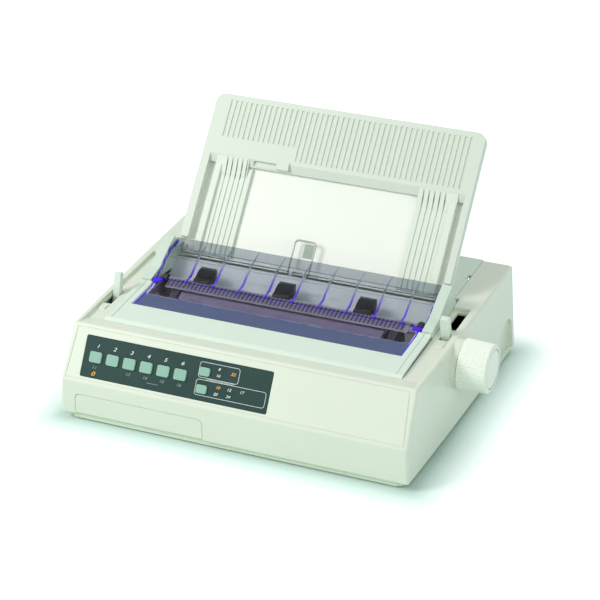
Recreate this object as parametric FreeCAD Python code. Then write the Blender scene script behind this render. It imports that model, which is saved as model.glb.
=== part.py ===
import FreeCAD, Part
import math
import os

# Desktop dot matrix printer with a slanted front panel, a hinged clear cover over the
# print line, a clear visor, an upright sheet support and a knob on the right.
# All sizes are millimetres. X runs to the right, Y to the rear, Z up from the desk.
# The sizes below are given from the middle of the front lower edge; the finished pieces
# are moved together so that the origin lies under the middle of the whole machine.

V = FreeCAD.Vector

# Running gaps shared by all pieces
OVERRUN = 1.0
RUN_GAP = 0.05
PRESS_GAP = 0.02
SEAT_GAP = 0.3
COVER_GAP = 0.4

# Case outline
CASE_DEPTH = 297.8
REAR_HALF_BOTTOM = 184.8
SIDE_TAPER_LOW = 7.0
FRONT_HALF_BOTTOM = REAR_HALF_BOTTOM - SIDE_TAPER_LOW
SIDE_TAPER_FRONT = 11.7
FRONT_HALF_TOP = REAR_HALF_BOTTOM - SIDE_TAPER_FRONT
SIDE_TAPER_REAR = 6.5
REAR_HALF_TOP = REAR_HALF_BOTTOM - SIDE_TAPER_REAR
SIDE_BOW = 1.3
CASE_BOTTOM_Z = 8.8
LOFT_TOP_Z = 100.0
FACE_BREAK_Z = 43.5
RIM_FRONT_Y = 28.4
RIM_FRONT_Z = 91.9
RIM_REAR_Z = 96.6
WALL = 2.5
EDGE_RADIUS = 3.0

# Sunk band and side troughs round the cover
BAND_FRONT_Y = 30.5
RIM_MARGIN = 14.8
TROUGH_HALF = REAR_HALF_BOTTOM - RIM_MARGIN
TROUGH_REAR_Y = 192.0
TROUGH_DEPTH = 3.4

# Main opening in the top, with the seat that carries the covers
LID_FRONT_Y = 46.5
LID_REAR_Y = 209.0
TROUGH_WIDTH = 17.8
LID_HALF = TROUGH_HALF - TROUGH_WIDTH
SEAT_DEPTH = 2.8
SEAT_LIP = 3.0
COLLAR_WIDTH = 3.5
COLLAR_DEPTH = 6.0

# Rear cover
REAR_COVER_FRONT_Y = 213.8
REAR_COVER_INSET = 4.6
REAR_COVER_HALF = LID_HALF - REAR_COVER_INSET
REAR_COVER_LIP = 3.0
REAR_COVER_THICK = 2.5
REAR_COVER_BOTTOM_Z = 84.0
REAR_NOTCH_WIDTH = 9.0
REAR_NOTCH_DEPTH = 3.0
REAR_NOTCH_RISE_SHARE = 0.45

# Feed slot through the rear wall
REAR_SLOT_INSET = 18.2
REAR_SLOT_HALF = LID_HALF - REAR_SLOT_INSET
REAR_SLOT_BOTTOM_Z = 68.0
REAR_SLOT_TOP_Z = 79.0

# Lower tray and feet
TRAY_BOTTOM_Z = 2.0
TRAY_FLOOR = 2.5
TRAY_WALL_TOP_Z = 18.0
TRAY_INSET = 4.2
TRAY_CHAMFER = 9.0
LIP_TOP_GAP = 0.2
VENT_COUNT = 9
VENT_LENGTH = 60.0
VENT_WIDTH = 4.0
VENT_END_SHARE = 0.4878
VENT_PITCH = 12.0
VENT_Y = 170.0
VENT_X = -60.0
FOOT_INSET = 34.8
FOOT_X = REAR_HALF_BOTTOM - FOOT_INSET
FOOT_FRONT_Y = 27.0
FOOT_REAR_Y = 270.0
FOOT_RADIUS = 8.0
FOOT_PIN_RADIUS = 2.5

# Case screws and the bosses that take them
SCREW_FRONT_INSET = 20.8
SCREW_FRONT_X = REAR_HALF_BOTTOM - SCREW_FRONT_INSET
SCREW_FRONT_Y = 20.0
SCREW_REAR_INSET = 24.8
SCREW_REAR_X = REAR_HALF_BOTTOM - SCREW_REAR_INSET
SCREW_REAR_Y = 280.0
SCREW_HEAD_RADIUS = 4.0
SCREW_HEAD_HEIGHT = 2.4
SCREW_RADIUS = 2.0
SCREW_LENGTH = 16.0
BOSS_RADIUS = 6.0
BOSS_TOP_Z = 12.0
COLUMN_RADIUS = 5.0
COUNTERBORE_RADIUS = 4.4
COUNTERBORE_DEPTH = 4.0
CROSS_WIDTH = 0.9
CROSS_DEPTH = 1.2

# Knob and the collar that it turns against
AXIS_Y = 130.3
AXIS_Z = 69.7
COLLAR_RADIUS = 23.5
COLLAR_SINK = 1.0
COLLAR_FACE_X = REAR_HALF_BOTTOM - COLLAR_SINK
KNOB_GAP = 0.6
KNOB_LENGTH = 29.4
KNOB_END_X = COLLAR_FACE_X + KNOB_LENGTH
KNOB_RADIUS = 24.9
KNOB_END_RADIUS = 23.8
KNOB_RIB_COUNT = 72
KNOB_RIB_DEPTH = 0.6
KNOB_RING_OUTER = 19.5
KNOB_RING_INNER = 18.3
KNOB_RING_DEPTH = 0.5
KNOB_EDGE = 1.2
KNOB_TWIST_DEG = 6.0

# Hand recesses at the lower rear of both sides
GRIP_FRONT_Y = 253.0
GRIP_REAR_Y = 289.0
GRIP_TOP_Z = 45.0
GRIP_DEPTH = 5.5
GRIP_RADIUS = 12.0

# Dark panel on the slanted face, in distances across and up that face
PANEL_SIDE_MARGIN = 15.7
PANEL_LEFT_X = PANEL_SIDE_MARGIN - FRONT_HALF_TOP
PANEL_WIDTH = 193.4
PANEL_RIGHT_X = PANEL_LEFT_X + PANEL_WIDTH
PANEL_LOW = 6.5
PANEL_HIGH = 46.5
PANEL_THICK = 1.2
PANEL_BACKING = 3.8
PANEL_MARGIN = 3.0
PANEL_CORNER = 2.0
PANEL_GAP = 0.2
BUTTON_MARGIN = 13.1
BUTTON_FIRST_X = PANEL_LEFT_X + BUTTON_MARGIN
BUTTON_PITCH = 17.76
BUTTON_COUNT = 6
BUTTON_ROW = 26.5
BUTTON_WIDTH = 12.6
BUTTON_HEIGHT = 10.8
BUTTON_CORNER = 2.0
BUTTON_RISE = 1.6
BUTTON_SIDE_GAP = 0.3
BUTTON_FLANGE = 1.0
BUTTON_FLANGE_THICK = 1.2
BUTTON_STEM_RADIUS = 1.4
BUTTON_STEM_LENGTH = 0.5
SMALL_BUTTON_MARGIN = 125.7
SMALL_BUTTON_X = PANEL_LEFT_X + SMALL_BUTTON_MARGIN
SMALL_BUTTON_LOW = 17.3
SMALL_BUTTON_HIGH = 33.8
SMALL_BUTTON_WIDTH = 10.8
SMALL_BUTTON_HEIGHT = 8.4
LAMP_WIDTH = 5.0
LAMP_HEIGHT = 2.6
LAMP_LIFT = 0.2
LAMP_ROW_LOW = 10.6
LAMP_A_MARGIN = 153.8
LAMP_A_X = PANEL_LEFT_X + LAMP_A_MARGIN
LAMP_A_ROW = 36.6
LAMP_B_MARGIN = 141.3
LAMP_B_X = PANEL_LEFT_X + LAMP_B_MARGIN
LAMP_B_ROW = 20.5
LAMP_PITCH = 13.5
BOARD_LEVEL = 9.0
BOARD_THICK = 1.6
BOARD_INSET = 2.0
STANDOFF_RADIUS = 2.5
STANDOFF_INSET = 4.0
SWITCH_SIZE = 6.0
SWITCH_HEIGHT = 2.0

# Raised line that frames the slanted face
RIDGE_HALF_LOW = 172.6
RIDGE_HALF_HIGH = 168.9
RIDGE_LOW = 2.2
RIDGE_HIGH = 53.6
RIDGE_WIDTH = 1.6
RIDGE_GROOVE = 0.5

# Drop-down cover at the lower left of the front, and the bay behind it
FLAP_SIDE_MARGIN = 16.3
FLAP_LEFT_X = FLAP_SIDE_MARGIN - FRONT_HALF_BOTTOM
FLAP_WIDTH = 133.3
FLAP_RIGHT_X = FLAP_LEFT_X + FLAP_WIDTH
FLAP_TOP_Z = 30.0
FLAP_THICK = 2.2
FLAP_CORNER = 5.0
FLAP_PIN_RADIUS = 1.2
FLAP_BARREL_RADIUS = 1.8
FLAP_PIN_LENGTH = 2.2
BAY_WALL = 1.5
BAY_INSET = 4.5
BAY_BOTTOM_Z = 13.5
BAY_TOP_Z = 26.5
BAY_DEPTH = 38.0
FLANGE_DEPTH = 6.0
FLANGE_WIDTH = 3.0

# Lever slots in the troughs
BAIL_TAB_OUTER_MARGIN = 1.8
BAIL_TAB_LEFT_X = BAIL_TAB_OUTER_MARGIN - TROUGH_HALF
BAIL_TAB_WIDTH = 6.8
BAIL_TAB_RIGHT_X = BAIL_TAB_LEFT_X + BAIL_TAB_WIDTH
BAIL_SLOT_FRONT_Y = 79.0
BAIL_SLOT_REAR_Y = 107.0
BAIL_LEVER_Y = 92.0
BAIL_LEVER_Z = 44.0
BAIL_TAB_TOP_Y = 105.5
BAIL_TAB_TOP_Z = 111.0
PAPER_TAB_OUTER_MARGIN = 2.2
PAPER_TAB_RIGHT_X = TROUGH_HALF - PAPER_TAB_OUTER_MARGIN
PAPER_TAB_WIDTH = 8.6
PAPER_TAB_LEFT_X = PAPER_TAB_RIGHT_X - PAPER_TAB_WIDTH
PAPER_SLOT_FRONT_Y = 130.0
PAPER_SLOT_REAR_Y = 187.5
PAPER_LEVER_Y = 150.0
PAPER_LEVER_Z = 40.0
PAPER_TAB_TOP_Y = 133.0
PAPER_TAB_TOP_Z = 113.0
SLOT_SIDE_GAP = 0.8
LEVER_HUB_RADIUS = 7.5
LEVER_STUB_RADIUS = 4.0
LEVER_ROOT_HALF = 5.0
LEVER_TIP_HALF = 3.0
LEVER_STUB_OVER = 1.0
SHIELD_OUTER = 46.6
SHIELD_INNER = 43.6
SHIELD_FRONT_DEG = 103.0
SHIELD_REAR_DEG = 72.0
PAD_HEIGHT = 1.0
PAD_LEFT_FRONT_Y = 65.0
PAD_LEFT_REAR_Y = 77.0
PAD_RIGHT_FRONT_Y = 115.0
PAD_RIGHT_REAR_Y = 127.5

# Hinged access cover over the print line
COVER_THICK = 2.2
COVER_LIP_Z = 88.7
COVER_NOSE_Y = 51.0
COVER_NOSE_Z = 91.5
PANE_FRONT_Y = 80.8
PANE_FRONT_Z = 93.2
PANE_BREAK_Y = 120.7
PANE_BREAK_Z = 94.3
PANE_REAR_Y = 135.0
PANE_REAR_Z = 97.3
STRIP_REAR_Y = 127.6
PANE_LEDGE = 3.0
PANE_LEDGE_THICK = 1.0
PANE_FLANGE_DEPTH = 6.0
PANE_FLANGE_WIDTH = 1.8
PANE_FLANGE_REAR_Y = 106.0
COVER_GROOVE = 0.5
COVER_GROOVE_WIDTH = 0.9
COVER_HINGE_Y = 133.4
COVER_HINGE_Z = 95.5
COVER_PIN_RADIUS = 1.3
COVER_PIN_LENGTH = 3.2

# Platen cover: two cheeks and the guide plate between them
CHEEK_THICK = 10.0
CHEEK_INNER_X = LID_HALF - CHEEK_THICK
PANE_SIDE_GAP = 2.8
PANE_HALF = CHEEK_INNER_X - PANE_SIDE_GAP
CHEEK_FRONT_Y = 129.2
CHEEK_PEAK_Y = 186.2
CHEEK_PEAK_Z = 119.6
CHEEK_REAR_Y = 199.6
CHEEK_WALL = 2.2
CHEEK_GROOVE_Y = 168.0
CHEEK_GROOVE_LENGTH = 17.0
CHEEK_GROOVE_WIDTH = 1.4
CHEEK_GROOVE_DEPTH = 0.6
CHEEK_LIFT = 0.5
GUIDE_LOW_Y = 159.0
GUIDE_LOW_Z = 76.0
GUIDE_HIGH_Y = 188.6
GUIDE_HIGH_Z = 96.6
GUIDE_THICK = 2.0
GUIDE_RIB_COUNT = 40
GUIDE_RIB_PITCH = 3.0
GUIDE_RIB_WIDTH = 1.0
GUIDE_RIB_RISE = 0.5
GUIDE_RIB_FIRST_SHARE = 0.52
GUIDE_RIB_LAST_SHARE = 0.64
EAR_RADIUS = 5.0
EAR_WIDTH = 3.6

# Clear visor
VISOR_HALF = CHEEK_INNER_X - COVER_GAP
VISOR_THICK = 2.0
VISOR_FRONT_Y = 136.6
VISOR_FRONT_Z = 97.6
VISOR_LOW_Y = 150.0
VISOR_LOW_Z = 100.2
VISOR_BEND_Y = 161.0
VISOR_BEND_Z = 107.0
VISOR_HIGH_Y = 173.0
VISOR_HIGH_Z = 113.2
VISOR_REAR_Y = 191.5
VISOR_REAR_Z = 117.0
FIN_COUNT = 9
FIN_FIRST_SHARE = -0.76093
FIN_FIRST_X = FIN_FIRST_SHARE * VISOR_HALF
FIN_PITCH_SHARE = 0.19866
FIN_PITCH = FIN_PITCH_SHARE * VISOR_HALF
FIN_THICK = 1.4
FIN_DEPTH = 3.4
FIN_END_DEPTH = 0.5
VISOR_EDGE_WIDTH = 1.6
VISOR_EDGE_DEPTH = 3.2

# Sheet support, in distances across and up its own slope
PANEL_BASE_Y = 190.0
PANEL_BASE_Z = 98.0
PANEL_LEAN_DEG = 50.2
SUPPORT_LENGTH = 174.0
SUPPORT_INSET = 7.6
SUPPORT_HALF = LID_HALF - SUPPORT_INSET
SUPPORT_DEPTH = 10.0
SUPPORT_WALL = 2.0
SUPPORT_CORNER = 9.0
SUPPORT_FOOT = 2.0
SUPPORT_NECK = 19.0
SUPPORT_NECK_INSET = 4.0
SUPPORT_NECK_HALF = SUPPORT_HALF - SUPPORT_NECK_INSET
FLANGE_LEFT_WIDTH = 8.6
FLANGE_INNER_LEFT = FLANGE_LEFT_WIDTH - SUPPORT_HALF
FLANGE_RIGHT_WIDTH = 6.6
FLANGE_INNER_RIGHT = SUPPORT_HALF - FLANGE_RIGHT_WIDTH
FLANGE_LEAD = 5.0
BAND_LOW = 110.0
COVE_LOW = 102.0
COVE_RISE_SHARE = 0.5
BAND_PLATE = 2.6
BAND_EDGE = 2.4
RIB_LEFT_MARGIN = 5.0
RIB_LEFT = FLANGE_INNER_LEFT + RIB_LEFT_MARGIN
RIB_RIGHT_MARGIN = 6.0
RIB_RIGHT = FLANGE_INNER_RIGHT - RIB_RIGHT_MARGIN
RIB_COUNT = 47
RIB_HIGH = 168.0
RIB_LOW = 114.6
RIB_LOW_LEFT = 129.0
RIB_GROUP_X = -47.0
RIB_DEPTH = 0.9
RIB_WIDTH_SHARE = 0.52
TONGUE_RISE = 2.2
TONGUE_THICK = 1.7
TONGUE_GAP = 0.2
SUPPORT_AXIS_UP = 10.0
SUPPORT_AXIS_IN = -8.5
SUPPORT_PIN_RADIUS = 2.0
SUPPORT_PIN_OVER = 0.8
SUPPORT_PIN_END_X = SUPPORT_HALF + SUPPORT_PIN_OVER
SUPPORT_HUB_RADIUS = 3.6
CLIP_LEFT = -62.0
CLIP_RIGHT = -48.7
CLIP_LOW = 103.2
CLIP_HIGH = 112.0
CLIP_DEPTH = 1.2
CLIP_HOLE_LEFT = -87.7
CLIP_HOLE_LOW = 103.6
CLIP_HOLE_HIGH = 108.8
CLIP_HOLE_DEPTH = 2.0
WINDOW_LEFT = -13.5
WINDOW_RIGHT = -1.5
WINDOW_LOW = 16.0
WINDOW_HIGH = 34.0

# Sliding sheet guides on the support
GUIDE_L_MARGIN = 8.0
GUIDE_L_LEFT = FLANGE_INNER_LEFT + GUIDE_L_MARGIN
GUIDE_L_WIDTH = 40.0
GUIDE_L_RIGHT = GUIDE_L_LEFT + GUIDE_L_WIDTH
GUIDE_R_MARGIN = 7.0
GUIDE_R_RIGHT = FLANGE_INNER_RIGHT - GUIDE_R_MARGIN
GUIDE_R_WIDTH = 41.0
GUIDE_R_LEFT = GUIDE_R_RIGHT - GUIDE_R_WIDTH
GUIDE_BOTTOM = 6.0
GUIDE_TOP = 100.0
GUIDE_PLATE = 3.2
GUIDE_GROOVE_COUNT = 5
GUIDE_GROOVE_WIDTH = 1.2
GUIDE_GROOVE_DEPTH = 0.8
GUIDE_EDGE = 7.0
GUIDE_EDGE_RISE = 3.0

# Wire rest in front of the support
WIRE_RADIUS = 0.9
WIRE_LEFT_X = -21.6
WIRE_RIGHT_X = 0.4
WIRE_FOOT_Y = 190.6
WIRE_FOOT_Z = 98.3
WIRE_LENGTH = 35.0
WIRE_BEND = 4.0
WIRE_FOOT_BEND = 2.0
WIRE_FOOT_LENGTH = 5.0
WIRE_CLIP_WIDTH = 3.0
WIRE_CLIP_RADIUS = 2.2

# Side plates of the mechanism
FRAME_INSET = 14.0
FRAME_INNER_X = LID_HALF - FRAME_INSET
FRAME_THICK = 1.6
FRAME_BOTTOM_Z = 10.0
FRAME_FRONT_Y = 46.0
FRAME_REAR_Y = 192.0
FRAME_TOP_Z = 88.0
FRAME_STEP_Y = 70.0
FRAME_STEP_Z = 50.0
FRAME_LOW_Z = 43.0
FRAME_TOP_FRONT_Y = 104.0
FRAME_TOP_REAR_Y = 155.0
FRAME_BACK_Z = 60.0
BASE_Z = 22.0
BASE_THICK = 1.6
BASE_REAR_Y = 150.0
BASE_HOLE_X = 70.0
BASE_HOLE_Y = 118.0
BASE_HOLE_LENGTH = 50.0
BASE_HOLE_WIDTH = 20.0
POST_X = 60.0
POST_FRONT_Y = 56.0
POST_REAR_Y = 142.0
POST_RADIUS = 5.0
BUSH_RADIUS = 8.0
BUSH_FLANGE_RADIUS = 10.0
BUSH_FLANGE = 0.8
BUSH_OUT = 1.0

# Platen, its shaft and the pin wheels
SHAFT_RADIUS = 5.0
SHAFT_LEFT_OVER = 7.8
SHAFT_LEFT_X = -FRAME_INNER_X - SHAFT_LEFT_OVER
SHAFT_RIGHT_OVER = 21.2
SHAFT_RIGHT_X = COLLAR_FACE_X + SHAFT_RIGHT_OVER
PLATEN_RADIUS = 20.2
PLATEN_INSET = 31.2
PLATEN_HALF = FRAME_INNER_X - PLATEN_INSET
WHEEL_STEP = 7.3
WHEEL_CENTRE_X = PLATEN_HALF + WHEEL_STEP
WHEEL_HALF = 3.8
WHEEL_RADIUS = 19.9
WHEEL_HUB_RADIUS = 9.0
WHEEL_HUB_LENGTH = 12.0
PIN_COUNT = 10
PIN_RADIUS = 2.0
PIN_TIP_RADIUS = 1.1
PIN_RISE = 2.5

# Gear train at the right of the mechanism
GEAR_MODULE = 1.0
GEAR_STEP = 3.8
GEAR_LEFT_X = FRAME_INNER_X + GEAR_STEP
GEAR_WIDTH = 6.0
PLATEN_TEETH_COUNT = 32
IDLER_TEETH_COUNT = 34
PINION_TEETH_COUNT = 12
IDLER_ANGLE_DEG = -37.7
PINION_ANGLE_DEG = -37.9
TOOTH_ADDENDUM_SHARE = 0.85
TOOTH_DEDENDUM_SHARE = 1.15
TOOTH_ROOT_SHARE = 0.29
TOOTH_TIP_SHARE = 0.12
IDLER_PIN_RADIUS = 3.0
IDLER_PIN_OVER = 1.2
MOTOR_RADIUS = 17.0
MOTOR_LENGTH = 36.0
MOTOR_PLATE = 42.0
MOTOR_PLATE_THICK = 1.6
MOTOR_SHAFT_RADIUS = 2.5
MOTOR_BORE_DEPTH = 12.0

# Paper bail
BAIL_AXIS_Y = 150.0
BAIL_AXIS_Z = 45.0
BAIL_TOP_Y = 149.0
BAIL_TOP_Z = 89.8
BAIL_ARM_OUTER_X = FRAME_INNER_X - FRAME_THICK
BAIL_ARM_WIDTH = 4.2
BAIL_ARM_INNER_X = BAIL_ARM_OUTER_X - BAIL_ARM_WIDTH
BAIL_HUB_RADIUS = 6.0
BAIL_TOP_RADIUS = 4.6
BAIL_PIN_RADIUS = 2.0
BAIL_SHAFT_RADIUS = 2.4
BAIL_ROLLER_RADIUS = 6.9
BAIL_ROLLER_WIDTH = 17.0
BAIL_ROLLER_INSET = 12.0
BAIL_ROLLER_FIRST_X = BAIL_ROLLER_INSET - PLATEN_HALF
BAIL_ROLLER_PITCH_SHARE = 0.893684
BAIL_ROLLER_PITCH = -BAIL_ROLLER_PITCH_SHARE * BAIL_ROLLER_FIRST_X
BAIL_ROLLER_COUNT = 3

# Rule bar in front of the platen
RULE_INSET = 1.0
RULE_HALF = PLATEN_HALF - RULE_INSET
RULE_FRONT_Y = 113.0
RULE_FRONT_Z = 87.4
RULE_REAR_Y = 123.6
RULE_REAR_Z = 91.6
RULE_THICK = 1.0
RULE_EAR_DEPTH = 4.0

# Curved feed chute under and behind the platen
CHUTE_RADIUS = 24.4
CHUTE_THICK = 1.2
CHUTE_INSET = 8.2
CHUTE_HALF = FRAME_INNER_X - CHUTE_INSET
CHUTE_START_DEG = -150.0
CHUTE_END_DEG = -20.0
CHUTE_END_Y = 292.0
CHUTE_END_Z = 70.0
CHUTE_TAB = 10.0
CHUTE_TAB_THICK = 1.2

# Print head carriage, its guides and belt
GUIDE_SHAFT_Y = 84.0
GUIDE_SHAFT_Z = 36.0
GUIDE_SHAFT_RADIUS = 6.0
RAIL_FRONT_Y = 52.0
RAIL_REAR_Y = 60.0
RAIL_Z = 36.0
RAIL_THICK = 2.0
RAIL_TAB = 12.0
CARRIAGE_ROOM = 64.0
CARRIAGE_TRAVEL = PLATEN_HALF + PLATEN_HALF - CARRIAGE_ROOM
CARRIAGE_X = -CARRIAGE_TRAVEL / 2
CARRIAGE_HALF = 20.0
CARRIAGE_FRONT_Y = 76.6
CARRIAGE_REAR_Y = 94.0
CARRIAGE_BOTTOM_Z = 25.0
CARRIAGE_TOP_Z = 54.0
FORK_FRONT_Y = 50.0
FORK_HALF = 9.0
FORK_PLATE = 1.6
FORK_GAP = 0.15
CLAMP_HALF = 8.0
CLAMP_TOP_Z = 34.0
CLAMP_WALL = 1.6
BELT_BOTTOM_Z = 27.0
BELT_HEIGHT = 4.0
BELT_THICK = 1.2
BELT_GAP = 0.3
PULLEY_INSET = 20.2
PULLEY_X = FRAME_INNER_X - PULLEY_INSET
PULLEY_Y = 66.0
PULLEY_RADIUS = 8.0
PULLEY_FLANGE = 1.0
PULLEY_RIM = 0.6
PULLEY_PIN_RADIUS = 2.0
CARRIAGE_MOTOR_RADIUS = 17.0
CARRIAGE_MOTOR_BOTTOM_Z = 6.0
HEAD_RADIUS = 15.0
HEAD_FRONT_Y = 66.0
HEAD_REAR_Y = 96.0
HEAD_FIN_COUNT = 5
HEAD_FIN_GAP = 1.6
HEAD_FIN_DEPTH = 3.0
HEAD_BASE_HALF = 13.0
HEAD_BASE_INSET = 4.0
NOSE_Y = 109.0
NOSE_RADIUS = 4.2
NOSE_ROOT_RADIUS = 10.0
RIBBON_HALF = 33.0
RIBBON_BOX_FRONT_Y = 51.5
RIBBON_BOX_REAR_Y = 64.5
RIBBON_BOTTOM_Z = 64.0
RIBBON_TOP_Z = 82.0
RIBBON_ARM_WIDTH = 10.0
RIBBON_ARM_REAR_Y = 104.0
RIBBON_ARM_BOTTOM_Z = 66.0
RIBBON_ARM_TOP_Z = 78.0
RIBBON_Y = 109.35
RIBBON_THICK = 0.25
RIBBON_BAND_BOTTOM_Z = 65.5
RIBBON_BAND_HEIGHT = 8.5
RIBBON_KNOB_RADIUS = 5.0
RIBBON_KNOB_HEIGHT = 2.0
CRADLE_WIDTH = 8.0
CRADLE_THICK = 2.0
RIBBON_CORNER = 4.0

# Electrics in the rear of the case
TRANSFORMER_INSET = 10.2
TRANSFORMER_LEFT_X = TRANSFORMER_INSET - FRAME_INNER_X
TRANSFORMER_WIDTH = 62.0
TRANSFORMER_FRONT_Y = 205.0
TRANSFORMER_DEPTH = 52.0
TRANSFORMER_HEIGHT = 50.0
TRANSFORMER_COIL_INSET = 9.0
TRANSFORMER_COIL_BULGE = 8.0
TRANSFORMER_FOOT = 8.0
TRANSFORMER_FOOT_THICK = 2.0
MAIN_BOARD_LEFT_X = -40.0
MAIN_BOARD_INSET = 32.8
MAIN_BOARD_RIGHT_X = REAR_HALF_BOTTOM - MAIN_BOARD_INSET
MAIN_BOARD_FRONT_Y = 198.0
MAIN_BOARD_REAR_Y = 284.0
MAIN_BOARD_Z = 13.0
MAIN_BOARD_POST_RADIUS = 3.5
MAIN_BOARD_POST_INSET = 8.0
CHIP_LENGTH = 50.0
CHIP_WIDTH = 14.0
CHIP_HEIGHT = 4.0
CHIP_PITCH = 22.0
CHIP_COUNT = 3
CAN_RADIUS = 8.0
CAN_HEIGHT = 26.0
INLET_INSET = 64.8
INLET_LEFT_X = REAR_HALF_BOTTOM - INLET_INSET
INLET_WIDTH = 27.0
INLET_BOTTOM_Z = 22.0
INLET_HEIGHT = 20.0
INLET_FLANGE = 4.0
INLET_FLANGE_THICK = 1.5
INLET_DEPTH = 16.0
INLET_WALL = 1.6
INLET_PIN_HALF = 1.0
INLET_PIN_LENGTH = 10.0
INLET_PIN_PITCH = 7.0
ROCKER_STEP = 28.0
ROCKER_LEFT_X = INLET_LEFT_X - ROCKER_STEP
ROCKER_WIDTH = 20.0
ROCKER_HEIGHT = 14.0
ROCKER_DEPTH = 8.0
ROCKER_RISE = 3.4
ROCKER_GAP = 0.5
ROCKER_SIDE = 1.8
ROCKER_PIN_RADIUS = 1.2
ROCKER_PIN_LENGTH = 1.0
PORT_INSET = 88.8
PORT_LEFT_X = PORT_INSET - REAR_HALF_BOTTOM
PORT_WIDTH = 66.0
PORT_BOTTOM_Z = 24.0
PORT_HEIGHT = 14.0
PORT_FLANGE = 7.0
PORT_FLANGE_THICK = 1.5
PORT_RISE = 6.0
PORT_WALL = 1.2
PORT_DEPTH = 11.0
PORT_TONGUE = 3.0
PORT_CLIP_RADIUS = 1.2

CASE_SLOPE = math.atan2(RIM_FRONT_Z - FACE_BREAK_Z, RIM_FRONT_Y)
PLATEN_GEAR_RADIUS = GEAR_MODULE * PLATEN_TEETH_COUNT / 2
IDLER_GEAR_RADIUS = GEAR_MODULE * IDLER_TEETH_COUNT / 2
PINION_RADIUS = GEAR_MODULE * PINION_TEETH_COUNT / 2


# Basic solids
def box(x0, x1, y0, y1, z0, z1):
    return Part.makeBox(x1 - x0, y1 - y0, z1 - z0, V(x0, y0, z0))


def rod_x(x0, x1, y, z, radius):
    return Part.makeCylinder(radius, x1 - x0, V(x0, y, z), V(1, 0, 0))


def rod_y(y0, y1, x, z, radius):
    return Part.makeCylinder(radius, y1 - y0, V(x, y0, z), V(0, 1, 0))


def rod_z(z0, z1, x, y, radius):
    return Part.makeCylinder(radius, z1 - z0, V(x, y, z0), V(0, 0, 1))


def prism(points, direction):
    return Part.Face(Part.makePolygon(points + [points[0]])).extrude(direction)


def prism_x(outline, x0, x1):
    return prism([V(x0, y, z) for y, z in outline], V(x1 - x0, 0, 0))


def prism_y(outline, y0, y1):
    return prism([V(x, y0, z) for x, z in outline], V(0, y1 - y0, 0))


def prism_z(outline, z0, z1):
    return prism([V(x, y, z0) for x, y in outline], V(0, 0, z1 - z0))


def join(shapes):
    first = shapes[0]
    if len(shapes) == 1:
        return first
    return first.multiFuse(shapes[1:]).removeSplitter()


def group(shapes):
    return Part.makeCompound(shapes)


def mirror_x(shape):
    return shape.mirror(V(0, 0, 0), V(1, 0, 0))


def moved(shape, x, y, z):
    copy = shape.copy()
    copy.translate(V(x, y, z))
    return copy


# Rounds the edges that run along one axis
def round_edges(shape, axis, radius):
    chosen = []
    for edge in shape.Edges:
        if edge.Curve.TypeId != "Part::GeomLine":
            continue
        run = edge.Vertexes[-1].Point - edge.Vertexes[0].Point
        if run.Length > 0 and abs(run.dot(axis)) / run.Length > 0.999:
            chosen.append(edge)
    return shape.makeFillet(radius, chosen)


def pill(x0, x1, y0, y1, z0, z1, radius):
    return round_edges(box(x0, x1, y0, y1, z0, z1), V(0, 0, 1), radius)


# A flat link with round ends, square to X
def link_x(x0, x1, y0, z0, r0, y1, z1, r1):
    run = math.hypot(y1 - y0, z1 - z0)
    base = math.atan2(z1 - z0, y1 - y0)
    swing = math.acos((r0 - r1) / run)
    outline = []
    for y, z, r, turn in ((y0, z0, r0, swing), (y1, z1, r1, swing), (y1, z1, r1, -swing),
                          (y0, z0, r0, -swing)):
        outline.append((y + r * math.cos(base + turn), z + r * math.sin(base + turn)))
    return join([prism_x(outline, x0, x1), rod_x(x0, x1, y0, z0, r0), rod_x(x0, x1, y1, z1, r1)])


# Where two straight lines in one plane meet
def meeting(a, b, c, d):
    run = (b[0] - a[0], b[1] - a[1])
    other = (d[0] - c[0], d[1] - c[1])
    cross = run[0] * other[1] - run[1] * other[0]
    step = ((c[0] - a[0]) * other[1] - (c[1] - a[1]) * other[0]) / cross
    return (a[0] + step * run[0], a[1] + step * run[1])


# An open line of points thickened to one side, as a closed outline
def strip(points, thick):
    lower = []
    count = len(points)
    for i in range(count):
        before = points[max(i - 1, 0)]
        here = points[i]
        after = points[min(i + 1, count - 1)]
        first = math.atan2(here[1] - before[1], here[0] - before[0]) if i > 0 else None
        last = math.atan2(after[1] - here[1], after[0] - here[0]) if i < count - 1 else None
        first = last if first is None else first
        last = first if last is None else last
        middle = (first + last) / 2
        reach = thick / math.cos((last - first) / 2)
        lower.append((here[0] + reach * math.sin(middle), here[1] - reach * math.cos(middle)))
    return points + lower[::-1]


# Heights of the case top
def face_z(y):
    return FACE_BREAK_Z + y * math.tan(CASE_SLOPE)


def rim_z(y):
    return RIM_FRONT_Z + (y - RIM_FRONT_Y) * (RIM_REAR_Z - RIM_FRONT_Z) / (CASE_DEPTH - RIM_FRONT_Y)


def trough_z(y):
    return rim_z(y) - TROUGH_DEPTH


def seat_z(y):
    return trough_z(y) - SEAT_DEPTH


# Places on the slanted face and on the sheet support
def on_face(shape):
    placed = shape.copy()
    placed.rotate(V(0, 0, 0), V(1, 0, 0), math.degrees(CASE_SLOPE))
    placed.translate(V(0, 0, FACE_BREAK_Z))
    return placed


def on_support(shape):
    placed = shape.copy()
    placed.rotate(V(0, 0, 0), V(1, 0, 0), PANEL_LEAN_DEG)
    placed.translate(V(0, PANEL_BASE_Y, PANEL_BASE_Z))
    return placed


def support_point(up, out):
    lean = math.radians(PANEL_LEAN_DEG)
    y = PANEL_BASE_Y + up * math.cos(lean) - out * math.sin(lean)
    return (y, PANEL_BASE_Z + up * math.sin(lean) + out * math.cos(lean))


SUPPORT_AXIS = support_point(SUPPORT_AXIS_UP, SUPPORT_AXIS_IN)


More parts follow.
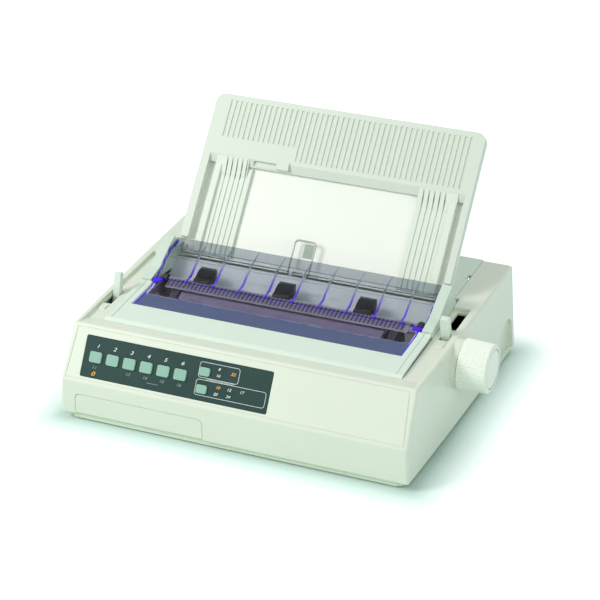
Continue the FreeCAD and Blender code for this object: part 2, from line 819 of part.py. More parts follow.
# Plan outline of the case at one height, with sides that bow out a little
def plan_wire(z, inset):
    rise = (z - CASE_BOTTOM_Z) / (LOFT_TOP_Z - CASE_BOTTOM_Z)
    front = FRONT_HALF_BOTTOM + rise * (FRONT_HALF_TOP - FRONT_HALF_BOTTOM) - inset
    rear = REAR_HALF_BOTTOM + rise * (REAR_HALF_TOP - REAR_HALF_BOTTOM) - inset
    near = inset
    far = CASE_DEPTH - inset
    middle = (front + rear) / 2 + SIDE_BOW
    corners = [V(-front, near, z), V(front, near, z), V(rear, far, z), V(-rear, far, z)]
    right = Part.Arc(corners[1], V(middle, CASE_DEPTH / 2, z), corners[2]).toShape()
    left = Part.Arc(corners[3], V(-middle, CASE_DEPTH / 2, z), corners[0]).toShape()
    return Part.Wire([Part.makeLine(corners[0], corners[1]), right,
                      Part.makeLine(corners[2], corners[3]), left])


def case_block(z0, z1, inset):
    return Part.makeLoft([plan_wire(z0, inset), plan_wire(z1, inset)], True, True)


def side_x(y, z):
    rise = (z - CASE_BOTTOM_Z) / (LOFT_TOP_Z - CASE_BOTTOM_Z)
    front = FRONT_HALF_BOTTOM + rise * (FRONT_HALF_TOP - FRONT_HALF_BOTTOM)
    rear = REAR_HALF_BOTTOM + rise * (REAR_HALF_TOP - REAR_HALF_BOTTOM)
    share = y / CASE_DEPTH
    return front + (rear - front) * share + SIDE_BOW * 4 * share * (1 - share)


# Upper case
def case_outer():
    edge = CASE_DEPTH + OVERRUN
    outline = [(-OVERRUN, CASE_BOTTOM_Z - OVERRUN), (-OVERRUN, face_z(-OVERRUN)),
               (RIM_FRONT_Y, RIM_FRONT_Z),
               (edge, rim_z(edge)), (edge, CASE_BOTTOM_Z - OVERRUN)]
    half = REAR_HALF_BOTTOM + WALL + WALL
    body = case_block(CASE_BOTTOM_Z, LOFT_TOP_Z, 0).common(prism_x(outline, -half, half))
    low = CASE_BOTTOM_Z - PRESS_GAP
    high = CASE_BOTTOM_Z + OVERRUN
    chosen = [e for e in body.Edges if e.BoundBox.ZMin > low and e.BoundBox.ZMax > high]
    return body.makeFillet(EDGE_RADIUS, chosen)


def trough_cut():
    high = LOFT_TOP_Z + OVERRUN
    outline = [(BAND_FRONT_Y, rim_z(BAND_FRONT_Y)), (LID_FRONT_Y, trough_z(LID_FRONT_Y)),
               (TROUGH_REAR_Y, trough_z(TROUGH_REAR_Y)), (TROUGH_REAR_Y, high), (BAND_FRONT_Y, high)]
    return prism_x(outline, -TROUGH_HALF, TROUGH_HALF)


def case_void():
    shift = WALL / math.sin(CASE_SLOPE)
    edge = CASE_DEPTH + OVERRUN
    low = CASE_BOTTOM_Z - OVERRUN
    under_front = (LID_FRONT_Y, trough_z(LID_FRONT_Y) - WALL)
    under_rear = (TROUGH_REAR_Y + WALL, trough_z(TROUGH_REAR_Y + WALL) - WALL)
    nose = meeting((shift, FACE_BREAK_Z), (shift + RIM_FRONT_Y, RIM_FRONT_Z), under_front, under_rear)
    outline = [(-OVERRUN, low), (-OVERRUN, face_z(-OVERRUN - shift)), nose, under_rear,
               (TROUGH_REAR_Y + WALL, rim_z(TROUGH_REAR_Y) - WALL), (edge, rim_z(edge) - WALL), (edge, low)]
    half = REAR_HALF_BOTTOM + WALL
    return case_block(CASE_BOTTOM_Z - OVERRUN, LOFT_TOP_Z, WALL).common(prism_x(outline, -half, half))


def opening_collar():
    half = LID_HALF + COVER_GAP + COLLAR_WIDTH
    front = LID_FRONT_Y - COLLAR_WIDTH
    rear = LID_REAR_Y + COLLAR_WIDTH
    outline = [(front, trough_z(front) - COLLAR_DEPTH), (rear, trough_z(rear) - COLLAR_DEPTH),
               (rear, LOFT_TOP_Z), (front, LOFT_TOP_Z)]
    return prism_x(outline, -half, half)


def opening_cuts():
    high = LOFT_TOP_Z + KNOB_END_X - COLLAR_FACE_X
    half = LID_HALF + COVER_GAP
    seat = prism_x([(LID_FRONT_Y, seat_z(LID_FRONT_Y)), (LID_REAR_Y, seat_z(LID_REAR_Y)),
                    (LID_REAR_Y, high), (LID_FRONT_Y, high)], -half, half)
    through = box(SEAT_LIP - half, half - SEAT_LIP, LID_FRONT_Y + SEAT_LIP, LID_REAR_Y - SEAT_LIP,
                  REAR_SLOT_TOP_Z, high)
    half = REAR_COVER_HALF + COVER_GAP
    front = REAR_COVER_FRONT_Y - COVER_GAP
    edge = CASE_DEPTH + OVERRUN
    low = REAR_COVER_THICK + SEAT_GAP
    rear_seat = prism_x([(front, rim_z(front) - low), (edge, rim_z(edge) - low), (edge, high),
                         (front, high)], -half, half)
    inner = half - REAR_COVER_LIP
    rear_hole = box(-inner, inner, front + REAR_COVER_LIP, edge, REAR_COVER_BOTTOM_Z - COVER_GAP, high)
    slot = box(-REAR_SLOT_HALF, REAR_SLOT_HALF, CASE_DEPTH - WALL - OVERRUN, edge, REAR_SLOT_BOTTOM_Z,
               REAR_SLOT_TOP_Z)
    return [seat, through, rear_seat, rear_hole, slot]


def lever_cuts():
    low = trough_z(BAIL_SLOT_FRONT_Y) - COLLAR_DEPTH
    left = box(BAIL_TAB_LEFT_X - SLOT_SIDE_GAP, BAIL_TAB_RIGHT_X + SLOT_SIDE_GAP,
               BAIL_SLOT_FRONT_Y, BAIL_SLOT_REAR_Y, low, LOFT_TOP_Z)
    right = box(PAPER_TAB_LEFT_X - SLOT_SIDE_GAP, PAPER_TAB_RIGHT_X + SLOT_SIDE_GAP,
                PAPER_SLOT_FRONT_Y, PAPER_SLOT_REAR_Y, low, LOFT_TOP_Z)
    return [left, right]


def lever_stub(x_inner, y, z, sign):
    far = side_x(y, z) - WALL / 2
    if sign > 0:
        return rod_x(x_inner, far, y, z, LEVER_STUB_RADIUS)
    return rod_x(-far, -x_inner, y, z, LEVER_STUB_RADIUS)


def rest_pads():
    pads = []
    for x0, x1, y0, y1 in ((BAIL_TAB_LEFT_X, BAIL_TAB_RIGHT_X, PAD_LEFT_FRONT_Y, PAD_LEFT_REAR_Y),
                           (PAPER_TAB_LEFT_X, PAPER_TAB_RIGHT_X, PAD_RIGHT_FRONT_Y, PAD_RIGHT_REAR_Y)):
        outline = [(y0, trough_z(y0) - WALL / 2), (y1, trough_z(y1) - WALL / 2),
                   (y1 - PAD_HEIGHT, trough_z(y1) + PAD_HEIGHT),
                   (y0 + PAD_HEIGHT, trough_z(y0) + PAD_HEIGHT)]
        pads.append(prism_x(outline, x0, x1))
    return pads


def grip_shape(x0, x1, margin):
    tall = box(x0, x1, GRIP_FRONT_Y - margin, GRIP_REAR_Y + margin, -GRIP_TOP_Z, GRIP_TOP_Z + margin)
    return round_edges(tall, V(1, 0, 0), GRIP_RADIUS)


def flap_outline(gap):
    x0 = FLAP_LEFT_X - gap
    x1 = FLAP_RIGHT_X + gap
    tall = box(x0, x1, -OVERRUN, FLAP_THICK + SEAT_GAP, -FLAP_TOP_Z, FLAP_TOP_Z + gap)
    return round_edges(tall, V(0, 1, 0), FLAP_CORNER)


def screw_places():
    return [(-SCREW_FRONT_X, SCREW_FRONT_Y), (SCREW_FRONT_X, SCREW_FRONT_Y),
            (-SCREW_REAR_X, SCREW_REAR_Y), (SCREW_REAR_X, SCREW_REAR_Y)]


def standoff_places():
    x0 = PANEL_LEFT_X + STANDOFF_INSET
    x1 = PANEL_RIGHT_X - STANDOFF_INSET
    return [(x, s) for x in (x0, x1) for s in (PANEL_LOW + STANDOFF_INSET, PANEL_HIGH - STANDOFF_INSET)]


def button_places():
    places = [(BUTTON_FIRST_X + i * BUTTON_PITCH, BUTTON_ROW, BUTTON_WIDTH,
               BUTTON_HEIGHT) for i in range(BUTTON_COUNT)]
    for row in (SMALL_BUTTON_LOW, SMALL_BUTTON_HIGH):
        places.append((SMALL_BUTTON_X, row, SMALL_BUTTON_WIDTH, SMALL_BUTTON_HEIGHT))
    return places


def lamp_places():
    places = [(BUTTON_FIRST_X, LAMP_ROW_LOW), (LAMP_A_X, LAMP_A_ROW)]
    for i in range(2):
        places.append((LAMP_B_X + i * LAMP_PITCH, LAMP_B_ROW))
    return places


def button_block(place, grow, low, high):
    x, s, width, height = place
    half_w = width / 2 + grow
    half_h = height / 2 + grow
    return pill(x - half_w, x + half_w, s - half_h, s + half_h, low, high, BUTTON_CORNER)


def face_holes(low, high, gap):
    holes = [button_block(p, gap, low, high) for p in button_places()]
    for x, s in lamp_places():
        holes.append(box(x - LAMP_WIDTH / 2, x + LAMP_WIDTH / 2, s - LAMP_HEIGHT / 2,
                         s + LAMP_HEIGHT / 2, low, high))
    return holes


def face_groove():
    def frame(grow):
        low = RIDGE_LOW - grow
        high = RIDGE_HIGH + grow
        outline = [V(-RIDGE_HALF_LOW - grow, low, -RIDGE_GROOVE),
                   V(RIDGE_HALF_LOW + grow, low, -RIDGE_GROOVE),
                   V(RIDGE_HALF_HIGH + grow, high, -RIDGE_GROOVE), V(-RIDGE_HALF_HIGH - grow, high,
                           -RIDGE_GROOVE)]
        return prism(outline, V(0, 0, RIDGE_GROOVE + OVERRUN))
    return on_face(frame(0).cut(frame(-RIDGE_WIDTH)))


def upper_case():
    body = case_outer().fuse(rod_x(PAPER_TAB_RIGHT_X, COLLAR_FACE_X, AXIS_Y, AXIS_Z, COLLAR_RADIUS))
    body = body.cut(trough_cut())
    keep = [opening_collar()]
    keep.append(on_face(box(PANEL_LEFT_X - PANEL_MARGIN, PANEL_RIGHT_X + PANEL_MARGIN,
                            PANEL_LOW - PANEL_MARGIN,
                            PANEL_HIGH + PANEL_MARGIN, -PANEL_BACKING, 0)))
    for x, s in standoff_places():
        keep.append(on_face(rod_z(-BOARD_LEVEL, 0, x, s, STANDOFF_RADIUS)))
    for x, y in screw_places():
        keep.append(rod_z(BOSS_TOP_Z, LOFT_TOP_Z, x, y, COLUMN_RADIUS))
    keep.append(lever_stub(PAPER_TAB_LEFT_X - LEVER_STUB_OVER, PAPER_LEVER_Y, PAPER_LEVER_Z, 1))
    keep.append(lever_stub(-BAIL_TAB_RIGHT_X - LEVER_STUB_OVER, BAIL_LEVER_Y, BAIL_LEVER_Z, -1))
    grip_x = REAR_HALF_BOTTOM - GRIP_DEPTH
    grip = grip_shape(grip_x - WALL, REAR_HALF_BOTTOM + WALL, WALL)
    keep += [grip, mirror_x(grip)]
    keep.append(box(FLAP_LEFT_X - FLANGE_WIDTH, FLAP_RIGHT_X + FLANGE_WIDTH, 0, FLANGE_DEPTH,
                    CASE_BOTTOM_Z, FLAP_TOP_Z + FLANGE_WIDTH))
    keep.append(box(FLAP_LEFT_X + BAY_INSET - BAY_WALL, FLAP_RIGHT_X - BAY_INSET + BAY_WALL, 0,
                    BAY_DEPTH + BAY_WALL,
                    BAY_BOTTOM_Z - BAY_WALL, BAY_TOP_Z + BAY_WALL))
    body = body.cut(case_void().cut(keep))
    cuts = opening_cuts() + lever_cuts() + [face_groove()]
    cuts.append(on_face(pill(PANEL_LEFT_X - PANEL_GAP, PANEL_RIGHT_X + PANEL_GAP, PANEL_LOW - PANEL_GAP,
                             PANEL_HIGH + PANEL_GAP, -PANEL_THICK - PANEL_GAP, OVERRUN, PANEL_CORNER)))
    cuts += [on_face(hole) for hole in face_holes(-PANEL_BACKING - OVERRUN, 0, BUTTON_SIDE_GAP)]
    for x, y in screw_places():
        cuts.append(rod_z(0, TRAY_BOTTOM_Z + COUNTERBORE_DEPTH + SCREW_LENGTH + OVERRUN, x, y,
                          SCREW_RADIUS + PRESS_GAP))
    outer = grip_shape(grip_x, COLLAR_FACE_X + WALL + WALL, 0)
    cuts += [outer, mirror_x(outer)]
    cuts.append(rod_x(PAPER_TAB_RIGHT_X, COLLAR_FACE_X + OVERRUN, AXIS_Y, AXIS_Z, SHAFT_RADIUS + KNOB_GAP))
    cuts.append(flap_outline(COVER_GAP))
    cuts.append(box(FLAP_LEFT_X + BAY_INSET, FLAP_RIGHT_X - BAY_INSET, 0, BAY_DEPTH, BAY_BOTTOM_Z,
                    BAY_TOP_Z))
    cuts += flap_hinge_cuts()
    cuts.append(inlet_opening())
    cuts.append(port_opening())
    return body.cut(cuts).fuse(rest_pads()).removeSplitter()


def flap_hinge():
    return (FLAP_BARREL_RADIUS, CASE_BOTTOM_Z + FLAP_BARREL_RADIUS)


def flap_hinge_cuts():
    y, z = flap_hinge()
    relief = rod_x(FLAP_LEFT_X - COVER_GAP, FLAP_RIGHT_X + COVER_GAP, y, z,
                   FLAP_BARREL_RADIUS * math.sqrt(2) + COVER_GAP)
    reach = COVER_GAP + FLAP_PIN_LENGTH
    pins = rod_x(FLAP_LEFT_X - reach, FLAP_RIGHT_X + reach, y, z, FLAP_PIN_RADIUS + RUN_GAP)
    return [relief, pins]


def inlet_opening():
    return box(ROCKER_LEFT_X - ROCKER_GAP - INLET_WALL, INLET_LEFT_X + INLET_WIDTH + PANEL_GAP,
               CASE_DEPTH - WALL - OVERRUN, CASE_DEPTH + OVERRUN, INLET_BOTTOM_Z - PANEL_GAP,
               INLET_BOTTOM_Z + INLET_HEIGHT + PANEL_GAP)


def port_opening():
    return box(PORT_LEFT_X - PANEL_GAP, PORT_LEFT_X + PORT_WIDTH + PANEL_GAP, CASE_DEPTH - WALL - OVERRUN,
               CASE_DEPTH + OVERRUN, PORT_BOTTOM_Z - PANEL_GAP, PORT_BOTTOM_Z + PORT_HEIGHT + PANEL_GAP)


# Lower tray, feet and screws
def lower_case():
    body = case_block(TRAY_BOTTOM_Z, TRAY_WALL_TOP_Z, TRAY_INSET)
    body = body.cut(case_block(TRAY_BOTTOM_Z + TRAY_FLOOR, TRAY_WALL_TOP_Z + OVERRUN, TRAY_INSET + WALL))
    lip = CASE_BOTTOM_Z - LIP_TOP_GAP
    cuts = [box(FLAP_LEFT_X - FLANGE_WIDTH - OVERRUN, FLAP_RIGHT_X + FLANGE_WIDTH + OVERRUN, 0,
                FLANGE_DEPTH + SEAT_GAP + WALL, lip, TRAY_WALL_TOP_Z + OVERRUN)]
    for sign in (-1, 1):
        notch = box(REAR_HALF_BOTTOM - GRIP_DEPTH - WALL - SEAT_GAP, REAR_HALF_BOTTOM + WALL,
                    GRIP_FRONT_Y - WALL - SEAT_GAP,
                    GRIP_REAR_Y + WALL + SEAT_GAP, lip, TRAY_WALL_TOP_Z + OVERRUN)
        cuts.append(notch if sign > 0 else mirror_x(notch))
        edge = FRONT_HALF_BOTTOM * sign
        back = (FRONT_HALF_BOTTOM - TRAY_INSET - TRAY_CHAMFER) * sign
        corner = [(edge, 0), (edge, TRAY_CHAMFER + TRAY_INSET), (back, TRAY_INSET), (back, 0)]
        cuts.append(prism_z(corner, 0, lip))
    for i in range(VENT_COUNT):
        x = VENT_X + i * VENT_PITCH
        cuts.append(pill(x, x + VENT_WIDTH, VENT_Y, VENT_Y + VENT_LENGTH, 0, BOSS_TOP_Z,
                         VENT_END_SHARE * VENT_WIDTH))
    posts = []
    for x, y in screw_places():
        posts.append(rod_z(TRAY_BOTTOM_Z, BOSS_TOP_Z, x, y, BOSS_RADIUS))
        cuts.append(rod_z(0, TRAY_BOTTOM_Z + COUNTERBORE_DEPTH, x, y, COUNTERBORE_RADIUS))
        cuts.append(rod_z(0, BOSS_TOP_Z + OVERRUN, x, y, SCREW_RADIUS + RUN_GAP))
    for x in (-POST_X, POST_X):
        for y in (POST_FRONT_Y, POST_REAR_Y):
            posts.append(rod_z(TRAY_BOTTOM_Z, BASE_Z, x, y, POST_RADIUS))
    for x, y in board_posts():
        posts.append(rod_z(TRAY_BOTTOM_Z, MAIN_BOARD_Z, x, y, MAIN_BOARD_POST_RADIUS))
    for x, y in foot_places():
        cuts.append(rod_z(0, TRAY_BOTTOM_Z + TRAY_FLOOR + OVERRUN, x, y, FOOT_PIN_RADIUS))
    return body.fuse(posts).cut(cuts).removeSplitter()


def foot_places():
    return [(x, y) for y in (FOOT_FRONT_Y, FOOT_REAR_Y) for x in (-FOOT_X, FOOT_X)]


def rubber_feet():
    feet = []
    for x, y in foot_places():
        foot = Part.makeCone(FOOT_RADIUS - TRAY_BOTTOM_Z / 2, FOOT_RADIUS, TRAY_BOTTOM_Z, V(x, y, 0),
                             V(0, 0, 1))
        feet.append(foot.fuse(rod_z(TRAY_BOTTOM_Z / 2, TRAY_BOTTOM_Z + TRAY_FLOOR, x, y,
                                    FOOT_PIN_RADIUS - PRESS_GAP)))
    return group(feet)


def case_screws():
    screws = []
    top = TRAY_BOTTOM_Z + COUNTERBORE_DEPTH
    for x, y in screw_places():
        head = rod_z(top - SCREW_HEAD_HEIGHT, top, x, y, SCREW_HEAD_RADIUS)
        shank = rod_z(top - SCREW_HEAD_HEIGHT / 2, top + SCREW_LENGTH, x, y, SCREW_RADIUS)
        low = top - SCREW_HEAD_HEIGHT
        half = SCREW_HEAD_RADIUS / 2
        cross = [box(x - half, x + half, y - CROSS_WIDTH / 2, y + CROSS_WIDTH / 2, low, low + CROSS_DEPTH),
                 box(x - CROSS_WIDTH / 2, x + CROSS_WIDTH / 2, y - half, y + half, low, low + CROSS_DEPTH)]
        screws.append(head.fuse(shank).cut(cross))
    return group(screws)


# Dark panel with its buttons, lamps and board
def control_panel():
    plate = pill(PANEL_LEFT_X, PANEL_RIGHT_X, PANEL_LOW, PANEL_HIGH, -PANEL_THICK - PANEL_GAP,
                 -PANEL_GAP, PANEL_CORNER)
    return on_face(plate.cut(face_holes(-PANEL_BACKING, OVERRUN, BUTTON_SIDE_GAP)))


def indicator_lamps():
    lamps = []
    for x, s in lamp_places():
        half_w = LAMP_WIDTH / 2 - RUN_GAP
        half_h = LAMP_HEIGHT / 2 - RUN_GAP
        lens = box(x - half_w, x + half_w, s - half_h, s + half_h, -PANEL_BACKING, LAMP_LIFT - PANEL_GAP)
        lamps.append(on_face(lens))
    return group(lamps)


def button_solid(place):
    x, s, width, height = place
    flange_top = -PANEL_BACKING - SEAT_GAP
    flange_low = flange_top - BUTTON_FLANGE_THICK
    cap = button_block(place, 0, flange_low, BUTTON_RISE)
    chosen = [e for e in cap.Edges if e.BoundBox.ZMin > BUTTON_RISE - RUN_GAP]
    cap = cap.makeFillet(BUTTON_SIDE_GAP * 2, chosen)
    flange = button_block(place, BUTTON_FLANGE, flange_low, flange_top)
    stem = rod_z(flange_low - BUTTON_STEM_LENGTH, flange_low, x, s, BUTTON_STEM_RADIUS)
    return on_face(join([cap, flange, stem]))


def panel_board():
    x0 = PANEL_LEFT_X + BOARD_INSET
    x1 = PANEL_RIGHT_X - BOARD_INSET
    board = box(x0, x1, PANEL_LOW, PANEL_HIGH, -BOARD_LEVEL - BOARD_THICK, -BOARD_LEVEL)
    parts = [board]
    half = SWITCH_SIZE / 2
    for x, s, width, height in button_places():
        parts.append(box(x - half, x + half, s - half, s + half, -BOARD_LEVEL, SWITCH_HEIGHT - BOARD_LEVEL))
    for x, s in lamp_places():
        parts.append(rod_z(-BOARD_LEVEL, -PANEL_BACKING - SEAT_GAP, x, s, LAMP_HEIGHT / 2))
    return on_face(join(parts))


# Drop-down front cover
def front_cover():
    y, z = flap_hinge()
    tall = box(FLAP_LEFT_X, FLAP_RIGHT_X, 0, FLAP_THICK, -FLAP_TOP_Z, FLAP_TOP_Z)
    plate = round_edges(tall, V(0, 1, 0), FLAP_CORNER)
    plate = plate.cut(box(FLAP_LEFT_X - OVERRUN, FLAP_RIGHT_X + OVERRUN, -OVERRUN, FLAP_THICK + OVERRUN,
                          -FLAP_TOP_Z - OVERRUN, z))
    barrel = rod_x(FLAP_LEFT_X, FLAP_RIGHT_X, y, z, FLAP_BARREL_RADIUS)
    reach = FLAP_PIN_LENGTH
    pins = rod_x(FLAP_LEFT_X - reach, FLAP_RIGHT_X + reach, y, z, FLAP_PIN_RADIUS)
    return join([plate, barrel, pins])


# Cover over the rear of the case
def rear_cover():
    front = REAR_COVER_FRONT_Y
    thick = REAR_COVER_THICK
    top = prism_x([(front, rim_z(front) - thick), (front, rim_z(front)), (CASE_DEPTH, rim_z(CASE_DEPTH)),
                   (CASE_DEPTH, rim_z(CASE_DEPTH) - thick)], -REAR_COVER_HALF, REAR_COVER_HALF)
    inner = REAR_COVER_HALF + COVER_GAP - REAR_COVER_LIP - COVER_GAP
    lip = box(-inner, inner, CASE_DEPTH - thick, CASE_DEPTH, REAR_COVER_BOTTOM_Z,
              rim_z(CASE_DEPTH) - thick / 2)
    cuts = []
    y = front + (CASE_DEPTH - front) * REAR_NOTCH_RISE_SHARE
    for sign in (-1, 1):
        edge = sign * REAR_COVER_HALF
        x0 = min(edge, edge - sign * REAR_NOTCH_DEPTH)
        cuts.append(box(x0, x0 + REAR_NOTCH_DEPTH, y, y + REAR_NOTCH_WIDTH, rim_z(y) - thick - thick,
                        LOFT_TOP_Z))
    return join([top, lip]).cut(cuts)


# Access cover: a cream frame that carries the frosted pane
def cover_line():
    return [(LID_FRONT_Y + COVER_GAP, COVER_LIP_Z), (COVER_NOSE_Y, COVER_NOSE_Z),
            (PANE_FRONT_Y, PANE_FRONT_Z),
            (PANE_BREAK_Y, PANE_BREAK_Z), (PANE_REAR_Y, PANE_REAR_Z)]


def pane_z(y):
    line = cover_line()
    for a, b in zip(line, line[1:]):
        if a[0] <= y <= b[0]:
            return a[1] + (b[1] - a[1]) * (y - a[0]) / (b[0] - a[0])
    return line[-1][1]


def cover_sheet(y0, y1, half, thick, drop):
    line = [(y0, pane_z(y0) - drop)] + [(y, z - drop) for y, z in cover_line() if y0 < y < y1] + [(y1,
            pane_z(y1) - drop)]
    return prism_x(strip(line, thick), -half, half)


def access_cover():
    front = LID_FRONT_Y + COVER_GAP
    frame = cover_sheet(front, STRIP_REAR_Y, LID_HALF, COVER_THICK, 0)
    hole_half = PANE_HALF + SEAT_GAP
    high = LOFT_TOP_Z
    top_hole = box(-hole_half, hole_half, PANE_FRONT_Y, high + high, REAR_SLOT_TOP_Z, high)
    ledge_half = PANE_HALF - PANE_LEDGE
    ledge = cover_sheet(PANE_FRONT_Y - PANE_LEDGE, STRIP_REAR_Y, hole_half + PANE_LEDGE,
                        PANE_LEDGE_THICK, COVER_THICK)
    ledge = ledge.cut(box(-ledge_half, ledge_half, PANE_FRONT_Y + PANE_LEDGE, high + high,
                          REAR_SLOT_TOP_Z, high))
    body = frame.cut(top_hole).fuse(ledge)
    grooves = []
    for sign in (-1, 1):
        x = sign * (PANE_HALF + LID_HALF) / 2
        grooves.append(cover_sheet(COVER_NOSE_Y, STRIP_REAR_Y + OVERRUN, COVER_GROOVE_WIDTH / 2,
                                   COVER_GROOVE + COVER_GROOVE, -COVER_GROOVE))
        grooves[-1].translate(V(x, 0, 0))
    return body.cut(grooves).removeSplitter()


def access_window():
    front = PANE_FRONT_Y + SEAT_GAP
    pane = cover_sheet(front, PANE_REAR_Y, PANE_HALF, COVER_THICK - RUN_GAP - RUN_GAP, 0)
    parts = [pane]
    for sign in (-1, 1):
        x0 = sign * (PANE_HALF - PANE_LEDGE - SEAT_GAP)
        x1 = x0 - sign * PANE_FLANGE_WIDTH
        flange = cover_sheet(PANE_FRONT_Y + PANE_LEDGE + SEAT_GAP, PANE_FLANGE_REAR_Y,
                             PANE_FLANGE_WIDTH / 2, PANE_FLANGE_DEPTH, COVER_THICK / 2)
        flange.translate(V((x0 + x1) / 2, 0, 0))
        parts.append(flange)
        a = sign * (PANE_HALF - OVERRUN)
        b = sign * (PANE_HALF + COVER_PIN_LENGTH + CHEEK_INNER_X - PANE_HALF)
        parts.append(rod_x(min(a, b), max(a, b), COVER_HINGE_Y, COVER_HINGE_Z, COVER_PIN_RADIUS))
    return join(parts)


# Fixed platen cover: side cheeks, hinge ears and the guide plate
def visor_line():
    low = (VISOR_LOW_Y, VISOR_LOW_Z)
    return [(VISOR_FRONT_Y, VISOR_FRONT_Z), low, (VISOR_BEND_Y, VISOR_BEND_Z), (VISOR_HIGH_Y, VISOR_HIGH_Z),
            (VISOR_REAR_Y, VISOR_REAR_Z)]


# The visor's outer surface as one smooth curve, moved inwards by a distance that may
# change evenly from its front end to its rear end
def visor_curve(front_drop, rear_drop):
    line = visor_line()
    points = []
    for i, (y, z) in enumerate(line):
        share = i / (len(line) - 1)
        drop = front_drop + share * (rear_drop - front_drop)
        a = line[max(i - 1, 0)]
        b = line[min(i + 1, len(line) - 1)]
        run = math.hypot(b[0] - a[0], b[1] - a[1])
        points.append(V(0, y + drop * (b[1] - a[1]) / run, z - drop * (b[0] - a[0]) / run))
    curve = Part.BSplineCurve()
    curve.interpolate(points)
    return curve


def visor_band(x0, x1, top, bottom, rear_bottom):
    upper = visor_curve(top, top)
    lower = visor_curve(bottom, rear_bottom)
    a = upper.toShape()
    b = lower.toShape()
    front = Part.makeLine(upper.StartPoint, lower.StartPoint)
    rear = Part.makeLine(upper.EndPoint, lower.EndPoint)
    face = Part.Face(Part.Wire([a, rear, b, front]))
    face.translate(V(x0, 0, 0))
    return face.extrude(V(x1 - x0, 0, 0))


def visor():
    parts = [visor_band(-VISOR_HALF, VISOR_HALF, 0, VISOR_THICK, VISOR_THICK)]
    for x0 in (-VISOR_HALF, VISOR_HALF - VISOR_EDGE_WIDTH):
        parts.append(visor_band(x0, x0 + VISOR_EDGE_WIDTH, VISOR_THICK / 2, VISOR_THICK + VISOR_EDGE_DEPTH,
                                VISOR_THICK + VISOR_EDGE_DEPTH))
    for i in range(FIN_COUNT):
        x = FIN_FIRST_X + i * FIN_PITCH
        parts.append(visor_band(x - FIN_THICK / 2, x + FIN_THICK / 2, VISOR_THICK / 2,
                                VISOR_THICK + FIN_DEPTH,
                                VISOR_THICK + FIN_END_DEPTH))
    body = join(parts)
    body = body.cut(box(-VISOR_HALF, VISOR_HALF, VISOR_FRONT_Y - OVERRUN,
                        VISOR_LOW_Y + BAIL_ROLLER_RADIUS, BAIL_TOP_Z - OVERRUN,
                        BAIL_TOP_Z + BAIL_ROLLER_RADIUS + OVERRUN))
    return body


def cheek_outline(inset):
    base_front = seat_z(CHEEK_FRONT_Y) + SEAT_GAP
    base_rear = seat_z(CHEEK_REAR_Y) + SEAT_GAP
    lift = CHEEK_LIFT - inset
    return [(CHEEK_FRONT_Y + inset, base_front), (CHEEK_FRONT_Y + inset, pane_z(CHEEK_FRONT_Y) + lift),
            (VISOR_FRONT_Y, VISOR_FRONT_Z + lift), (VISOR_LOW_Y, VISOR_LOW_Z + lift),
            (VISOR_BEND_Y, VISOR_BEND_Z + lift),
            (VISOR_HIGH_Y, VISOR_HIGH_Z + lift + CHEEK_LIFT), (CHEEK_PEAK_Y - inset, CHEEK_PEAK_Z - inset),
            (CHEEK_REAR_Y - inset, rim_z(CHEEK_REAR_Y)), (CHEEK_REAR_Y - inset, base_rear)]


def guide_point(share, out):
    run = math.hypot(GUIDE_HIGH_Y - GUIDE_LOW_Y, GUIDE_HIGH_Z - GUIDE_LOW_Z)
    along = ((GUIDE_HIGH_Y - GUIDE_LOW_Y) / run, (GUIDE_HIGH_Z - GUIDE_LOW_Z) / run)
    return (GUIDE_LOW_Y + along[0] * run * share - along[1] * out,
            GUIDE_LOW_Z + along[1] * run * share + along[0] * out)


def platen_cover():
    plate = prism_x([guide_point(0, 0), guide_point(1, 0), guide_point(1, -GUIDE_THICK),
                     guide_point(0, -GUIDE_THICK)],
                    -CHEEK_INNER_X, CHEEK_INNER_X)
    parts = [plate]
    first = GUIDE_RIB_FIRST_SHARE
    last = GUIDE_RIB_LAST_SHARE
    rib = [guide_point(first, 0), guide_point(last, 0), guide_point(last, GUIDE_RIB_RISE),
           guide_point(first, GUIDE_RIB_RISE)]
    start = -(GUIDE_RIB_COUNT - 1) * GUIDE_RIB_PITCH / 2
    for i in range(GUIDE_RIB_COUNT):
        x = start + i * GUIDE_RIB_PITCH
        parts.append(prism_x(rib, x, x + GUIDE_RIB_WIDTH))
    parts += wire_clips()
    axis_y, axis_z = SUPPORT_AXIS
    for sign in (-1, 1):
        cheek = prism_x(cheek_outline(0), CHEEK_INNER_X, LID_HALF)
        ear = link_x(CHEEK_INNER_X, CHEEK_INNER_X + EAR_WIDTH, CHEEK_REAR_Y - EAR_RADIUS - EAR_RADIUS,
                     axis_z, EAR_RADIUS,
                     axis_y, axis_z, EAR_RADIUS - PRESS_GAP)
        groove = box(LID_HALF - CHEEK_GROOVE_DEPTH, LID_HALF + OVERRUN, CHEEK_GROOVE_Y,
                     CHEEK_GROOVE_Y + CHEEK_GROOVE_WIDTH,
                     VISOR_HIGH_Z - CHEEK_GROOVE_LENGTH - CHEEK_GROOVE_WIDTH,
                     VISOR_HIGH_Z - CHEEK_GROOVE_WIDTH)
        cheek = cheek.fuse(ear).cut([groove, rod_x(CHEEK_INNER_X - OVERRUN, LID_HALF - CHEEK_WALL,
                                                   axis_y, axis_z, SUPPORT_PIN_RADIUS + RUN_GAP),
                                     rod_x(CHEEK_INNER_X - OVERRUN, LID_HALF - CHEEK_WALL,
                                           COVER_HINGE_Y, COVER_HINGE_Z, COVER_PIN_RADIUS + RUN_GAP)])
        parts.append(cheek if sign > 0 else mirror_x(cheek))
    return join(parts)


